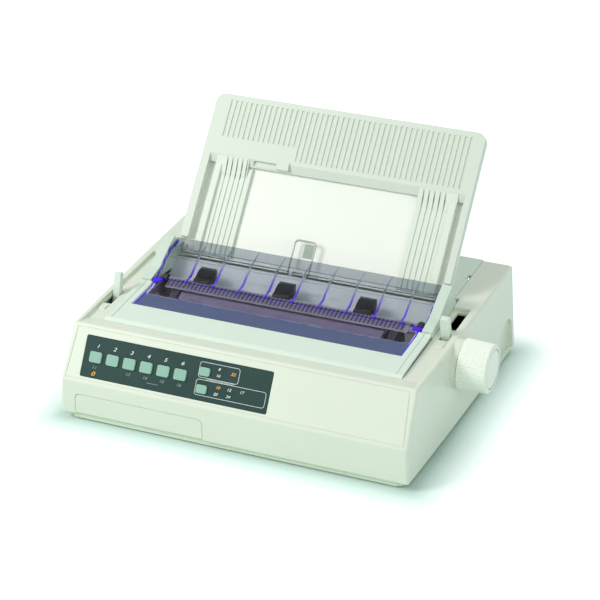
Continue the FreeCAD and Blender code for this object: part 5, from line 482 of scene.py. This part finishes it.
platen_black = rubber("Platen rubber", (34, 35, 38), 0.55, (5000.0, 60.0, 60.0), 0.00002)
roller_black = rubber("Roller rubber", (12, 13, 20), 0.6, (3000.0, 80.0, 80.0), 0.00002)
foot_black = rubber("Foot rubber", (32, 32, 32), 0.75, (600.0, 600.0, 600.0), 0.00006)
belt_black = rubber("Belt rubber", (28, 28, 28), 0.6, (500.0, 40.0, 40.0), 0.00006)
ribbon_ink = rubber("Inked ribbon", (16, 16, 20), 0.85, (4000.0, 200.0, 4000.0), 0.00004)

# %% [markdown]
# Two pieces change colour where they pass behind the cheeks: the platen cover is two
# cream cheeks with a grey guide plate between them, moulded as one, and the black bail's
# cross shaft is bare steel. A mask on the distance from the machine's middle chooses
# between the two tones. They feed the group's own colour input, so the grain and the
# edges stay the same all over the piece.


# %% Two-tone pieces
def two_tones(material, mask, outer, inner):
    """Feeds the grain's colour with outer, and with inner where the mask is 1."""
    tree = material.node_tree
    grain = next(n for n in tree.nodes if getattr(n, "node_tree", None) == grain_group)
    tones = blend(tree, (-1300, 100), mask, linear(*outer), linear(*inner))
    feed(tree, grain, {"Colour": (tones, 2)})
    print("two tones on", material.name)


def from_point(tree, point):
    """The place on the piece, measured from a point of the frame."""
    coords = add(tree, "ShaderNodeTexCoord", (-2100, 300))
    return vectors(tree, (-1900, 300), "SUBTRACT", (coords, "Object"), point)


def change_in_middle(name, outer, inner, half, roughness, **settings):
    """A plastic in outer, with inner nearer to the machine's middle than half metres."""
    material = plastic(name, outer, roughness, **settings)
    tree = material.node_tree
    axes = add(tree, "ShaderNodeSeparateXYZ", (-1700, 300),
               {0: (from_point(tree, at(0, 0, 0)), 0)})
    width = maths(tree, (-1600, 300), "ABSOLUTE", (axes, "X"))
    inside = maths(tree, (-1450, 300), "LESS_THAN", (width, 0), half)
    two_tones(material, (inside, 0), outer, inner)
    return material


PLATE_HALF, SHAFT_HALF = 0.1419, 0.131
cheeks_and_plate = change_in_middle("Cheeks and guide plate", (206, 221, 208),
                                    (196, 204, 206), PLATE_HALF, 0.42, dust=0.05)
arms_and_shaft = change_in_middle("Bail arms and shaft", (24, 25, 28), (158, 164, 172),
                                  SHAFT_HALF, 0.4, dust=0.05, rub=0.3)

# %% [markdown]
# The bed of the support is painted lighter than its frame: painted light, where more
# light falls on the bed than on the frame.
# Its mask is the depth below the support's face, measured square to the lean, and it
# changes over half a millimetre.

# %% Painted light on the bed of the support
LEAN = math.radians(50.2)
SUPPORT_FOOT_Y, SUPPORT_FOOT_Z = 190.0, 98.0
BED_FROM, BED_TO = -7.2 * MM, -7.7 * MM
tree = support_cream.node_tree
from_foot = from_point(tree, at(0.0, SUPPORT_FOOT_Y, SUPPORT_FOOT_Z))
out = vectors(tree, (-1750, 300), "DOT_PRODUCT", (from_foot, 0),
              (0.0, -math.sin(LEAN), math.cos(LEAN)))
painted_light_bed_mask = add(tree, "ShaderNodeMapRange", (-1550, 300),
           {"Value": (out, "Value"), "From Min": BED_FROM, "From Max": BED_TO})
# the lighter bed tone is painted light
two_tones(support_cream, (painted_light_bed_mask, "Result"), SUPPORT_TONE, (240, 241, 233))

# %% [markdown]
# A round cap closes the knob's end, and the joint between them shows as a fine dark
# ring. The ring is a mask on the distance from the knob's own axis, so it turns with it.

# %% Ring on the knob's face
RING_RADIUS, RING_HALF_WIDTH = 19.2 * MM, 0.3 * MM
tree = knob_cream.node_tree
across = vectors(tree, (-1750, 300), "MULTIPLY", (from_point(tree, platen_middle), 0),
                 (0.0, 1.0, 1.0))
reach = vectors(tree, (-1600, 300), "LENGTH", (across, 0))
near = maths(tree, (-1450, 300), "COMPARE", (reach, "Value"), RING_RADIUS, RING_HALF_WIDTH)
two_tones(knob_cream, (near, 0), KNOB_TONE, (150, 158, 146))

# %% [markdown]
# The clear parts are glass to the shader, tinted violet-grey. Real light reaches what
# is behind them, but a path tracer finds it hard to carry lamp light through glass, so
# for shadow rays alone a Transparent shader with the same tint takes over. A mask on
# the depth of the drawing tints a stretch of a sheet, such as a crease, and gives it a
# painted glow.


# %% Clear plastics
def clear_plastic(name, colour, roughness, shadow, transmission=1.0, ior=1.49,
                  grains=0.0, drift=0.0, gloss=0.1):
    """Tinted glass that lets lamp light through. With grains, its shine drifts too."""
    material, tree, shader = empty_material(name)
    feed(tree, shader, {"Base Color": linear(*colour), "Roughness": roughness,
                        "IOR": ior, "Transmission Weight": transmission})
    lit = add(tree, "ShaderNodeBsdfTransparent", (0, -300), {"Color": linear(*shadow)})
    path = add(tree, "ShaderNodeLightPath", (0, 400))
    swap = add(tree, "ShaderNodeMixShader", (250, 100),
               {0: (path, "Is Shadow Ray"), 1: (shader, 0), 2: (lit, 0)})
    out = tree.nodes["Material Output"]
    out.location = (450, 100)
    feed(tree, out, {"Surface": (swap, 0)})
    haze = None
    if grains:
        haze = grain_on(tree, (-700, 0), colour, grains, drift, roughness, gloss)
        feed(tree, shader, {"Base Color": (haze, "Colour"),
                            "Roughness": (haze, "Roughness")})
    return material, tree, shader, haze


def depth_mask(tree, full, none):
    """Falls from 1 at one depth of the drawing to 0 at another, both in millimetres."""
    coords = add(tree, "ShaderNodeTexCoord", (-1900, 1000))
    axes = add(tree, "ShaderNodeSeparateXYZ", (-1700, 1000), {0: (coords, "Object")})
    mask = add(tree, "ShaderNodeMapRange", (-1500, 1000),
               {"Value": (axes, "Y"), "From Min": at(0, none, 0).y,
                "From Max": at(0, full, 0).y})
    return mask, "Result"


def violet_with_painted_glow(tree, shader, mask, colour, strength):
    """Tints the glass violet on the mask and gives it a painted glow, an emission that
    stands for the light a lit edge gathers.
    """
    tint = blend(tree, (-500, 500), mask, colour, linear(100, 58, 214))
    # shine is the colour of the painted glow
    shine = blend(tree, (-500, 800), mask, (0.0, 0.0, 0.0, 1.0), linear(104, 44, 220))
    feed(tree, shader, {"Base Color": (tint, 2), "Emission Color": (shine, 2),
                        "Emission Strength": strength})

# %% [markdown]
# The visor is smoked, and its tint darkens towards its rear as painted shade, for the
# shaded support seen through it. Its front edge is a violet crease with a painted glow.
# The lid's clear band is a little paler. Both are thin sheets that hardly bend the view,
# so they get a low index and a thin coat that carries the shine.

# %% Visor and clear band
CREASE, PLAIN = 137.1, 137.5
smoked, tree, shader, haze = clear_plastic(
    "Smoked clear plastic", (186, 194, 214), 0.05, (222, 224, 228), ior=1.08,
    grains=60.0, drift=0.08, gloss=0.06)
# darker rear tint: painted shade of the support seen through the visor
tint = blend(tree, (-900, 500), depth_mask(tree, 177.0, 164.0), linear(212, 213, 214),
             linear(178, 184, 190))
# the crease gets a painted glow
violet_with_painted_glow(tree, shader, depth_mask(tree, CREASE, PLAIN), (tint, 2), 0.12)
feed(tree, shader, {"Coat Weight": 0.1, "Coat Roughness": 0.06})

clear_band, tree, shader, haze = clear_plastic(
    "Clear band", (220, 214, 232), 0.03, (238, 236, 246), ior=1.08, grains=80.0, drift=0.1)
feed(tree, shader, {"Coat Weight": 0.08, "Coat Roughness": 0.06})

# %% [markdown]
# Cut edges gather the light that runs inside the sheet, so rims and fins look violet, and
# that light is painted in as a small emission, a painted glow. A fin is clear towards the
# rear and violet with the painted glow at the crease.

# %% Violet edges and fins
violet_edge, tree, shader, haze = clear_plastic(
    "Violet edge", (92, 58, 222), 0.15, (150, 130, 225), transmission=0.4, ior=1.15,
    grains=300.0, drift=0.7)
# the emission is a painted glow of the lit edges
feed(tree, shader, {"Emission Color": linear(92, 40, 220), "Emission Strength": 0.16})

fin_clear, tree, shader, haze = clear_plastic(
    "Fin", (205, 208, 226), 0.1, (190, 186, 226), transmission=0.75, grains=250.0,
    drift=0.3)
# violet with a painted glow towards the crease
violet_with_painted_glow(tree, shader, depth_mask(tree, 154.0, 166.0), (haze, "Colour"), 0.3)

# %% [markdown]
# The frosted pane scatters the light. A fine stipple gives its relief, its roughness and
# two blues. Towards the clear band a broader noise wears the frost away in patches.

# %% Frosted pane
frosted, tree, shader, haze = clear_plastic("Frosted pane", (86, 98, 150), 0.55,
                                            (120, 126, 170), transmission=0.4)
coords = add(tree, "ShaderNodeTexCoord", (-1500, 200))
stipple = add(tree, "ShaderNodeTexNoise", (-1300, -200),
              {"Vector": (coords, "Object"), "Scale": 900.0, "Detail": 2.0})
cloud = add(tree, "ShaderNodeTexNoise", (-1300, 50),
            {"Vector": (coords, "Object"), "Scale": 160.0, "Detail": 4.0})
ragged = maths(tree, (-1100, 250), "MULTIPLY", depth_mask(tree, 108.5, 103.5),
               (cloud, "Fac"))
worn = add(tree, "ShaderNodeMapRange", (-900, 250),
           {"Value": (ragged, 0), "From Min": 0.3, "From Max": 0.5, "To Max": 0.6})
blues = blend(tree, (-900, 0), (stipple, "Fac"), linear(64, 78, 126),
              linear(96, 112, 158))
tint = blend(tree, (-700, 200), (worn, "Result"), (blues, 2), linear(170, 176, 196))
# a violet front edge with a faint painted glow
violet_with_painted_glow(tree, shader, depth_mask(tree, 82.0, 82.6), (tint, 2), 0.06)
shade = add(tree, "ShaderNodeMapRange", (-700, -50),
            {"Value": (stipple, "Fac"), "To Min": 0.45, "To Max": 0.62})
feed(tree, shader, {"Roughness": (shade, "Result")})
bump_on(tree, shader, (stipple, "Fac"), 0.3 * MM)

# %% [markdown]
# The panel is a dark film with a soft satin face. Print on it is a little matt ink, in
# white, grey or amber, and a lamp that is lit glows amber through its lens.


# %% Panel film, ink and lamps
def ink(name, colour, roughness=0.55):
    """A thin clean print, whose edges are far too small to be rubbed."""
    return plastic(name, colour, roughness, edge=0.05 * MM, dust=0.0)


film = plastic("Slate film", (38, 64, 62), 0.4, specular=0.14, grain=900.0,
               depth=0.00001, dust=0.05, drift=0.35, rub=0.2)
lens = plastic("Dark lamp lens", (52, 62, 62), 0.15, grain=300.0, dust=0.0)
white_ink = ink("White ink", (226, 232, 230))
grey_ink = ink("Grey ink", (130, 146, 146))
dark_ink = ink("Dark ink", (60, 56, 84), 0.5)
amber_ink = ink("Amber ink", (232, 168, 60), 0.5)
feed(amber_ink.node_tree, amber_ink.node_tree.nodes["Principled BSDF"],
     {"Emission Color": linear(240, 165, 50), "Emission Strength": 0.25})

# %% [markdown]
# Each node of the frame already has the right shape, so it keeps its mesh and takes one
# of these finishes in its material slots.

# %% Finishes on the frame's own pieces
FINISHES = (
    (case_cream, "upper_case front_cover"),
    (tray_cream, "lower_case case_screws"),
    (cover_cream, "rear_cover access_cover bail_lever paper_lever"),
    (cheeks_and_plate, "platen_cover"),
    (support_cream, "separator_panel"),
    (guide_cream, "sheet_guide_left sheet_guide_right"),
    (knob_cream, "platen_knob"),
    (key_green, " ".join(f"button_{number}" for number in range(1, 9))),
    (film, "control_panel"),
    (lens, "indicator_lamps"),
    (frosted, "access_window"),
    (smoked, "visor"),
    (wire, "wire_rest"),
    (zinc, "frame_left frame_right frame_base paper_chute front_rail"),
    (ground, "platen_shaft guide_shaft"),
    (cast, "print_head"),
    (nylon, "shaft_bushings platen_gear idler_gear motor_pinion motor_pulley idler_pulley"),
    (laminate, "panel_board main_board"),
    (iron, "transformer"),
    (motor_black, "feed_motor carriage_motor"),
    (platen_black, "platen_rubber"),
    (roller_black, "bail_rollers"),
    (arms_and_shaft, "bail_frame"),
    (violet_grey, "ruler_bar"),
    (foot_black, "rubber_feet"),
    (belt_black, "drive_belt"),
    (ribbon_ink, "ribbon_band"),
    (black_moulding, "sprocket_wheels carriage ribbon_cartridge power_inlet power_switch"
                     " interface_connector"),
)
without = set(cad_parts)
for finish, names in FINISHES:
    for name in names.split():
        without.remove(name)
        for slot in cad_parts[name].material_slots:
            slot.material = finish
print("nodes without a finish:", sorted(without))

# %% [markdown]
# The trim is modelled as by hand: a primitive at its size, worked on in edit mode, and
# finished with modifiers. An operator acts on all that is selected, so each piece starts
# with nothing selected, and then picks its vertices or faces by where they are.


# %% Selecting
def mode(name):
    """Turns edit mode on with "EDIT" and off with "OBJECT"."""
    bpy.ops.object.mode_set(mode=name)


def nothing_selected():
    if bpy.context.object is not None and bpy.context.object.mode != "OBJECT":
        mode("OBJECT")
    bpy.ops.object.select_all(action="DESELECT")


def everything(part):
    return True


def pick(kind, test):
    """In edit mode, selects the vertices, edges or faces that pass a test."""
    bpy.ops.mesh.select_mode(type=kind)
    bpy.ops.mesh.select_all(action="DESELECT")
    mesh = bmesh.from_edit_mesh(bpy.context.object.data)
    for part in {"VERT": mesh.verts, "EDGE": mesh.edges, "FACE": mesh.faces}[kind]:
        if test(part):
            part.select_set(True)
    mesh.select_flush_mode()
    bmesh.update_edit_mesh(bpy.context.object.data)


# %% [markdown]
# Every piece ends in the same way. Its modifiers are applied, so that the mesh is what
# is seen. Its normals point outwards, and sharp angles stay sharp while soft ones shade
# smoothly. It then gets its finish, and rides on the body that carries it.


# %% Last steps for a piece
def modify(piece, kind, **settings):
    """Adds one modifier with its settings and applies it at once."""
    modifier = piece.modifiers.new(kind.title(), kind)
    for name, value in settings.items():
        setattr(modifier, name, value)
    bpy.ops.object.modifier_apply(modifier=modifier.name)


def joined(pieces):
    """Several objects as one."""
    nothing_selected()
    for piece in pieces:
        piece.select_set(True)
    bpy.context.view_layer.objects.active = pieces[0]
    bpy.ops.object.join()
    return bpy.context.object


def finish_piece(piece, name, material, body):
    """The last steps for a piece: place, normals, shading, finish and what it rides on."""
    if piece.mode != "OBJECT":
        mode("OBJECT")
    bpy.ops.object.transform_apply(location=True, rotation=True, scale=True)
    mode("EDIT")
    bpy.ops.mesh.select_all(action="SELECT")
    bpy.ops.mesh.normals_make_consistent(inside=False)
    mode("OBJECT")
    bpy.ops.object.shade_smooth_by_angle(angle=math.radians(35))
    piece.name = name
    piece.data.name = name
    piece.data.materials.clear()
    piece.data.materials.append(material)
    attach(piece, body)
    print(name, "faces:", len(piece.data.polygons))


# %% [markdown]
# The front face slants back, and the panel is drawn on it: across, and up the slope. So
# the print is placed by those two measures and a lift above the face.

# %% Places on the slanted face
SLOPE = math.radians(59.62)
SLOPE_FOOT_Z = 43.5
FILM_LIFT = -0.2
ON_FILM, ON_LENS = FILM_LIFT + 0.03, 0.03
INK_THICK = 0.06


def lay_on_slope(piece, x, up, lift=FILM_LIFT):
    """Turns a flat print to the slope and lays it on the film, or on a lamp's lens."""
    piece.rotation_euler = (SLOPE, 0.0, 0.0)
    piece.location = at(x, up * math.cos(SLOPE) - lift * math.sin(SLOPE),
                        SLOPE_FOOT_Z + up * math.sin(SLOPE) + lift * math.cos(SLOPE))
    bpy.ops.object.transform_apply(location=True, rotation=True, scale=True)


def flat_piece(width, height):
    """A plane of that size in millimetres, left in edit mode."""
    nothing_selected()
    bpy.ops.mesh.primitive_plane_add(size=1.0)
    piece = bpy.context.object
    piece.scale = (width * MM, height * MM, 1.0)
    bpy.ops.object.transform_apply(scale=True)
    mode("EDIT")
    return piece


# %% [markdown]
# Each frame on the panel is one printed line with round corners. A plane gets its size,
# its four corners are bevelled, the face is inset by the line's width, and the inner
# face is deleted, which leaves the ring. Solidify then gives it the ink's thickness.

# %% Printed frames
LINE_WIDTH = 0.42
CORNER = 2.6


def printed_frame(x0, x1, low, high):
    piece = flat_piece(x1 - x0, high - low)
    pick("VERT", everything)
    bpy.ops.mesh.bevel(offset=CORNER * MM, segments=6, affect="VERTICES")
    pick("FACE", everything)
    bpy.ops.mesh.inset(thickness=LINE_WIDTH * MM)
    bpy.ops.mesh.delete(type="FACE")
    mode("OBJECT")
    modify(piece, "SOLIDIFY", thickness=INK_THICK * MM, offset=1.0)
    lay_on_slope(piece, (x0 + x1) / 2, (low + high) / 2)
    return piece


def printed_bar(x, up, length, width, turn=0.0):
    """A short printed stroke with cut corners, turned on the film."""
    piece = flat_piece(length, width)
    pick("VERT", everything)
    bpy.ops.mesh.bevel(offset=width * 0.3 * MM, segments=2, affect="VERTICES")
    mode("OBJECT")
    modify(piece, "SOLIDIFY", thickness=INK_THICK * MM, offset=1.0)
    piece.rotation_euler = (0.0, 0.0, turn)
    bpy.ops.object.transform_apply(rotation=True)
    lay_on_slope(piece, x, up)
    return piece


HATCH_X, HATCH_PITCH, HATCH_COUNT, HATCH_TURN = -27.0, 3.1, 9, math.radians(21.0)
frames = [printed_frame(-38.0, 3.0, 28.0, 43.0), printed_frame(-38.7, 32.7, 11.3, 26.4)]
hatch = [printed_bar(HATCH_X + HATCH_PITCH * step, 27.2, 5.6, 0.34, HATCH_TURN)
         for step in range(HATCH_COUNT)]
print("frames:", len(frames), "strokes between them:", len(hatch))

# %% [markdown]
# The keys and scales are numbered, with the digits leaning forward as on such panels.
# A text object gets its height, lean and thickness, is made a mesh, and only then is
# laid on the film.


# %% Printed numbers
def printed_number(words, x, up, height, stretch=1.0, lift=ON_LENS):
    nothing_selected()
    bpy.ops.object.text_add()
    piece = bpy.context.object
    piece.data.body = words
    piece.data.size = height * MM * 1.4
    piece.data.shear = 0.3
    piece.data.align_x = "CENTER"
    piece.data.align_y = "CENTER"
    piece.data.offset = 0.00004
    piece.data.extrude = INK_THICK * MM / 2
    piece.data.resolution_u = 3
    bpy.ops.object.convert(target="MESH")
    piece.scale = (stretch, 1.0, 1.0)
    bpy.ops.object.transform_apply(scale=True)
    lay_on_slope(piece, x, up, lift)
    return piece


KEY_FIRST, KEY_PITCH = -144.3, 17.76
KEY_X = [KEY_FIRST + KEY_PITCH * i for i in range(6)]
white = frames + hatch
white += [printed_number(str(i + 1), x, 37.2, 3.6, 1.25, ON_FILM)
          for i, x in enumerate(KEY_X)]
white += [printed_number(word, x, up, 2.7, 1.15) for word, x, up in (
    ("8", -18.0, 38.6), ("16", -18.0, 32.6), ("12", -4.6, 21.6), ("17", 8.2, 21.6),
    ("20", -17.2, 15.2), ("24", -4.4, 15.2))]
grey = [printed_number(word, KEY_X[key], 16.6, 2.9, 1.2, ON_FILM)
        for key, word in ((0, "11"), (2, "13"), (3, "14"), (4, "15"), (5, "16"))]
grey.append(printed_bar((KEY_X[3] + KEY_X[4]) / 2, 12.6, 12.0, 0.5))
amber = [printed_number("0", KEY_X[0], 10.6, 4.2, 1.3),
         printed_number("32", -3.4, 36.4, 2.9, 1.2),
         printed_number("10", -16.1, 21.6, 2.7, 1.2)]
for prints, name, finish in ((white, "panel_print_white", white_ink),
                             (grey, "panel_print_grey", grey_ink),
                             (amber, "panel_print_amber", amber_ink)):
    finish_piece(joined(prints), name, finish, "case")

# %% [markdown]
# A formed sheet is drawn edge on. Of a new plane only one edge is kept, and that edge is
# extruded from point to point, so the sheet follows the line, and Solidify thickens it.


# %% Formed sheets
def formed_sheet(line, left, right, thick, bend=0.0):
    """A sheet along a line of (y, z) points, from left to right, thickened upwards.

    With a bend, its inner creases are rounded by so many millimetres."""
    nothing_selected()
    wide = (right - left) * MM
    start = at((left + right) / 2, *line[0])
    bpy.ops.mesh.primitive_plane_add(size=wide, location=start)
    piece = bpy.context.object
    bpy.ops.object.transform_apply(location=True)
    mode("EDIT")
    pick("VERT", lambda v: v.co.y < start.y)
    bpy.ops.mesh.delete(type="VERT")
    pick("VERT", everything)
    bpy.ops.transform.translate(value=(0.0, -wide / 2, 0.0))
    for a, b in zip(line, line[1:]):
        step = (0.0, (b[0] - a[0]) * MM, (b[1] - a[1]) * MM)
        bpy.ops.mesh.extrude_region_move(TRANSFORM_OT_translate={"value": step})
    if bend:
        pick("EDGE", lambda edge: len(edge.link_faces) == 2)
        bpy.ops.mesh.bevel(offset=bend * MM, segments=5, affect="EDGES")
    mode("OBJECT")
    if piece.data.polygons[0].normal.z < 0:
        mode("EDIT")
        bpy.ops.mesh.flip_normals()
        mode("OBJECT")
    modify(piece, "SOLIDIFY", thickness=thick * MM, offset=1.0)
    return piece


def lowered(line, drop):
    """The same line, so many millimetres lower."""
    return [(y, z - drop) for y, z in line]


# %% [markdown]
# The visor is one thin sheet that curls up over the platen. The solid model gives it a
# notch below for the rollers, and a notch in clear plastic bends the view like a prism,
# so here the sheet is modelled with two parallel faces, as it is moulded. Its side
# edges gather light and look violet with a painted glow, and nine fins below stiffen it.

# %% Visor
VISOR_LINE = ((136.6, 96.3), (150.0, 98.9), (161.0, 105.7), (173.0, 111.9), (191.3, 115.7))
VISOR_HALF = 141.8
VISOR_BEND = 4.0
RAIL_HALF, RAIL_DEPTH = 0.6, 2.6
visor = formed_sheet(VISOR_LINE, -VISOR_HALF, VISOR_HALF, 1.2, VISOR_BEND)
finish_piece(visor, "visor_sheet", smoked, "case")
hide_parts("visor")

rails = [formed_sheet(lowered(VISOR_LINE, RAIL_DEPTH), x - RAIL_HALF, x + RAIL_HALF,
                      RAIL_DEPTH - 0.05, VISOR_BEND)
         for x in (RAIL_HALF - VISOR_HALF, VISOR_HALF - RAIL_HALF)]
finish_piece(joined(rails), "visor_rails", violet_edge, "case")

# %% [markdown]
# A fin is a narrow sheet right under the visor. Its lower corners are pulled down, most
# in the middle and hardly at the rear, and the finished fin is then copied along.

# %% Visor fins
FIN_FIRST, FIN_PITCH, FIN_COUNT, FIN_HALF = -107.9, 28.17, 9, 0.65
FIN_DROPS = (1.2, 2.4, 2.4, 1.6, 0.4)
NEAR = 0.03 * MM
fin = formed_sheet(VISOR_LINE, FIN_FIRST - FIN_HALF, FIN_FIRST + FIN_HALF, 0.1)
mode("EDIT")
for (y, z), drop in zip(VISOR_LINE, FIN_DROPS):
    corner = at(0.0, y, z)
    pick("VERT", lambda v: abs(v.co.y - corner.y) < NEAR and abs(v.co.z - corner.z) < NEAR)
    bpy.ops.transform.translate(value=(0.0, 0.0, -drop * MM))
mode("OBJECT")
fins = [fin]
for number in range(1, FIN_COUNT):
    nothing_selected()
    fin.select_set(True)
    bpy.context.view_layer.objects.active = fin
    bpy.ops.object.duplicate()
    bpy.ops.transform.translate(value=(number * FIN_PITCH * MM, 0.0, 0.0))
    bpy.ops.object.transform_apply(location=True)
    fins.append(bpy.context.object)
finish_piece(joined(fins), "visor_fins", fin_clear, "case")

# %% [markdown]
# The lid's window is one clear moulding, matt below and clear in a band above. One
# shader can't be both, because its share of glass is one number, so the two zones are
# two sheets that meet edge to edge. Their rims, the ribs below and the hinge barrels at
# the rear corners gather light like the visor's edges do, and get the same painted glow.

# %% Window of the lid
WINDOW_HALF, RIM_WIDTH = 139.4, 2.2
INNER_HALF = WINDOW_HALF - RIM_WIDTH
WINDOW_THICK, BAND_THICK, SKIN = 2.1, 1.0, 0.1
FROST_TOP = ((81.5, 93.2), (108.4, 93.94))
CLEAR_TOP = ((108.5, 93.95), (120.7, 94.3), (134.2, 97.1))
RIM_TOP = FROST_TOP[:1] + CLEAR_TOP[1:]
RIB_FOOT, RIB_X, RIB_HALF, RIB_TALL = ((84.5, 87.2), (105.8, 87.8)), 135.2, 0.8, 3.8
BARREL_X, BARREL_AXIS, BARREL_LENGTH, BARREL_RADIUS = 136.6, (133.4, 95.3), 10.0, 1.9
TAB_TOP, TAB_X = ((128.5, 95.97), (134.0, 97.11)), 136.2


def hinge_barrel(x):
    """A short round barrel along the hinge, with a chamfer at both ends."""
    nothing_selected()
    bpy.ops.mesh.primitive_cylinder_add(
        vertices=24, radius=BARREL_RADIUS * MM, depth=BARREL_LENGTH * MM,
        location=at(x, *BARREL_AXIS), rotation=(0.0, math.radians(90), 0.0))
    piece = bpy.context.object
    modify(piece, "BEVEL", width=0.5 * MM, segments=2, limit_method="ANGLE",
           angle_limit=math.radians(60))
    bpy.ops.object.transform_apply(location=True, rotation=True)
    return piece


pane = formed_sheet(lowered(FROST_TOP, WINDOW_THICK), -INNER_HALF, INNER_HALF,
                    WINDOW_THICK - SKIN)
finish_piece(pane, "window_frosted", frosted, "lid")
band = formed_sheet(lowered(CLEAR_TOP, BAND_THICK), -INNER_HALF, INNER_HALF,
                    BAND_THICK - SKIN)
finish_piece(band, "window_clear", clear_band, "lid")
rims = []
for side in (-1, 1):
    edge, rib, tab = side * (WINDOW_HALF - RIM_WIDTH / 2), side * RIB_X, side * TAB_X
    rims += [formed_sheet(lowered(RIM_TOP, WINDOW_THICK), edge - RIM_WIDTH / 2,
                          edge + RIM_WIDTH / 2, WINDOW_THICK - SKIN),
             formed_sheet(RIB_FOOT, rib - RIB_HALF, rib + RIB_HALF, RIB_TALL),
             hinge_barrel(side * BARREL_X),
             formed_sheet(TAB_TOP, tab - 3.2, tab + 3.0, 0.6)]
finish_piece(joined(rims), "window_rims", violet_edge, "lid")
for name in ("window_frosted", "window_clear", "window_rims"):
    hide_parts("access_window")

# %% [markdown]
# In front of the bail's shaft a thin scale bar lies just over the platen. Its front part
# runs the whole width, and behind it a bent flange reaches the shaft between rollers.
# One tick is modelled and an Array modifier repeats it along the bar.

# %% Bail scale
SCALE_LINE = ((129.6, 91.2), (142.8, 94.5))
FLANGE_LINE = ((142.6, 94.4), (144.0, 94.3), (147.2, 91.2))
SCALE_HALF, SCALE_THICK = 127.0, 0.8
FLANGES = ((-SCALE_HALF, -104.5), (-85.5, -19.6), (-0.6, 65.3), (84.3, SCALE_HALF))
TICK_PITCH, TICK_WIDTH, TICK_LENGTH = 4.233, 1.7, 11.5
scale = [formed_sheet(SCALE_LINE, -SCALE_HALF, SCALE_HALF, SCALE_THICK)]
scale += [formed_sheet(FLANGE_LINE, x0, x1, SCALE_THICK) for x0, x1 in FLANGES]
finish_piece(joined(scale), "bail_scale", scale_grey, "bail")

ticks = flat_piece(TICK_WIDTH, TICK_LENGTH)
pick("FACE", everything)
bpy.ops.mesh.extrude_region_move(TRANSFORM_OT_translate={"value": (0, 0, INK_THICK * MM)})
mode("OBJECT")
modify(ticks, "ARRAY", count=int(250.0 / TICK_PITCH), use_relative_offset=False,
       use_constant_offset=True,
       constant_offset_displace=(TICK_PITCH * MM, 0.0, 0.0))
(y0, z0), (y1, z1) = SCALE_LINE
print("the scale rises by", round(math.degrees(math.atan2(z1 - z0, y1 - y0)), 1), "degrees")
ticks.rotation_euler = (math.atan2(z1 - z0, y1 - y0), 0.0, 0.0)
ticks.location = at(-125.0, 136.2, 93.70)
bpy.ops.object.transform_apply(location=True, rotation=True)
finish_piece(ticks, "bail_scale_ticks", dark_ink, "bail")

# %% [markdown]
# Each bail roller sits in a black hood that clips over the shaft from behind and keeps
# the paper off the visor. The corners of a ring are moved one by one to its side
# outline. The outline is filled as one face, extruded across the roller's width, and
# all its edges are bevelled.

# %% Roller hoods
HOOD_OUTLINE = ((149.6, 97.0), (154.0, 99.4), (159.6, 101.2), (164.4, 101.2), (166.4, 98.4),
                (164.6, 92.0), (159.6, 85.2), (156.3, 86.6), (156.9, 90.4), (154.6, 95.2))
HOOD_WIDTH = 17.4
ROLLER_X = (-94.97, -10.1, 74.78)


def hood(x):
    """One hood over the roller whose middle is at x."""
    nothing_selected()
    bpy.ops.mesh.primitive_circle_add(vertices=len(HOOD_OUTLINE), radius=0.01)
    piece = bpy.context.object
    starts = [vert.co.copy() for vert in piece.data.vertices]
    mode("EDIT")
    for number, (y, z) in enumerate(HOOD_OUTLINE):
        pick("VERT", lambda v: v.index == number)
        bpy.ops.transform.translate(value=at(x - HOOD_WIDTH / 2, y, z) - starts[number])
    pick("VERT", everything)
    bpy.ops.mesh.edge_face_add()
    bpy.ops.mesh.extrude_region_move(
        TRANSFORM_OT_translate={"value": (HOOD_WIDTH * MM, 0.0, 0.0)})
    mode("OBJECT")
    modify(piece, "BEVEL", width=0.7 * MM, segments=2, limit_method="ANGLE",
           angle_limit=math.radians(40))
    return piece


finish_piece(joined([hood(x) for x in ROLLER_X]), "roller_hoods", hood_black, "bail")

# %% [markdown]
# The edge guides slide across the support. Each ends above in a thin lip that lies over
# the support's cove and keeps the paper flat up to the band. The lip carries on the
# grooves of its guide as slots between strips, tied at the top, and moves with it.

# %% Lips of the edge guides
LIP_LOW, LIP_HIGH, LIP_TIE = (88.0, -4.9), (109.5, 0.0), (108.0, -0.34)
LIP_THICK, TIE_THICK, SLOT_HALF = 1.25, 0.3, 0.6


def on_lean(up, out):
    """A point of the support, by its height along the slope and its distance off it."""
    return (SUPPORT_FOOT_Y + up * math.cos(LEAN) - out * math.sin(LEAN),
            SUPPORT_FOOT_Z + up * math.sin(LEAN) + out * math.cos(LEAN))


def guide_lip(name, left, right, slots, body):
    """The strips of a lip lie between its slots, and the tie runs the whole width."""
    edges = [left]
    for x in slots:
        edges += [x - SLOT_HALF, x + SLOT_HALF]
    edges.append(right)
    strips = [formed_sheet([on_lean(*LIP_TIE), on_lean(*LIP_HIGH)], left, right, TIE_THICK)]
    strips += [formed_sheet([on_lean(*LIP_LOW), on_lean(*LIP_HIGH)], x0, x1, LIP_THICK)
               for x0, x1 in zip(edges[0::2], edges[1::2])]
    finish_piece(joined(strips), name, guide_cream, body)


guide_lip("left_guide_lip", -128.0, -92.3, (-115.5, -110.0, -104.5, -99.0, -93.9),
          "left_guide")
guide_lip("right_guide_lip", 90.0, 131.0, (95.67, 101.33, 107.0, 112.67, 118.33),
          "right_guide")

# %% [markdown]
# Beside its clip the support has a small pocket. A floor closes it behind, coloured a
# shade darker than the front as painted shade, since little light gets in, and the clip's
# pin stands in it.

# %% Pocket of the support
POCKET_LOW, POCKET_HIGH, POCKET_DEPTH = 104.7, 109.8, 6.8
pocket = formed_sheet([on_lean(up, -POCKET_DEPTH) for up in (POCKET_LOW, POCKET_HIGH)],
                      -87.6, -62.1, 0.8)
finish_piece(pocket, "support_pocket", pocket_painted_shade, "support")
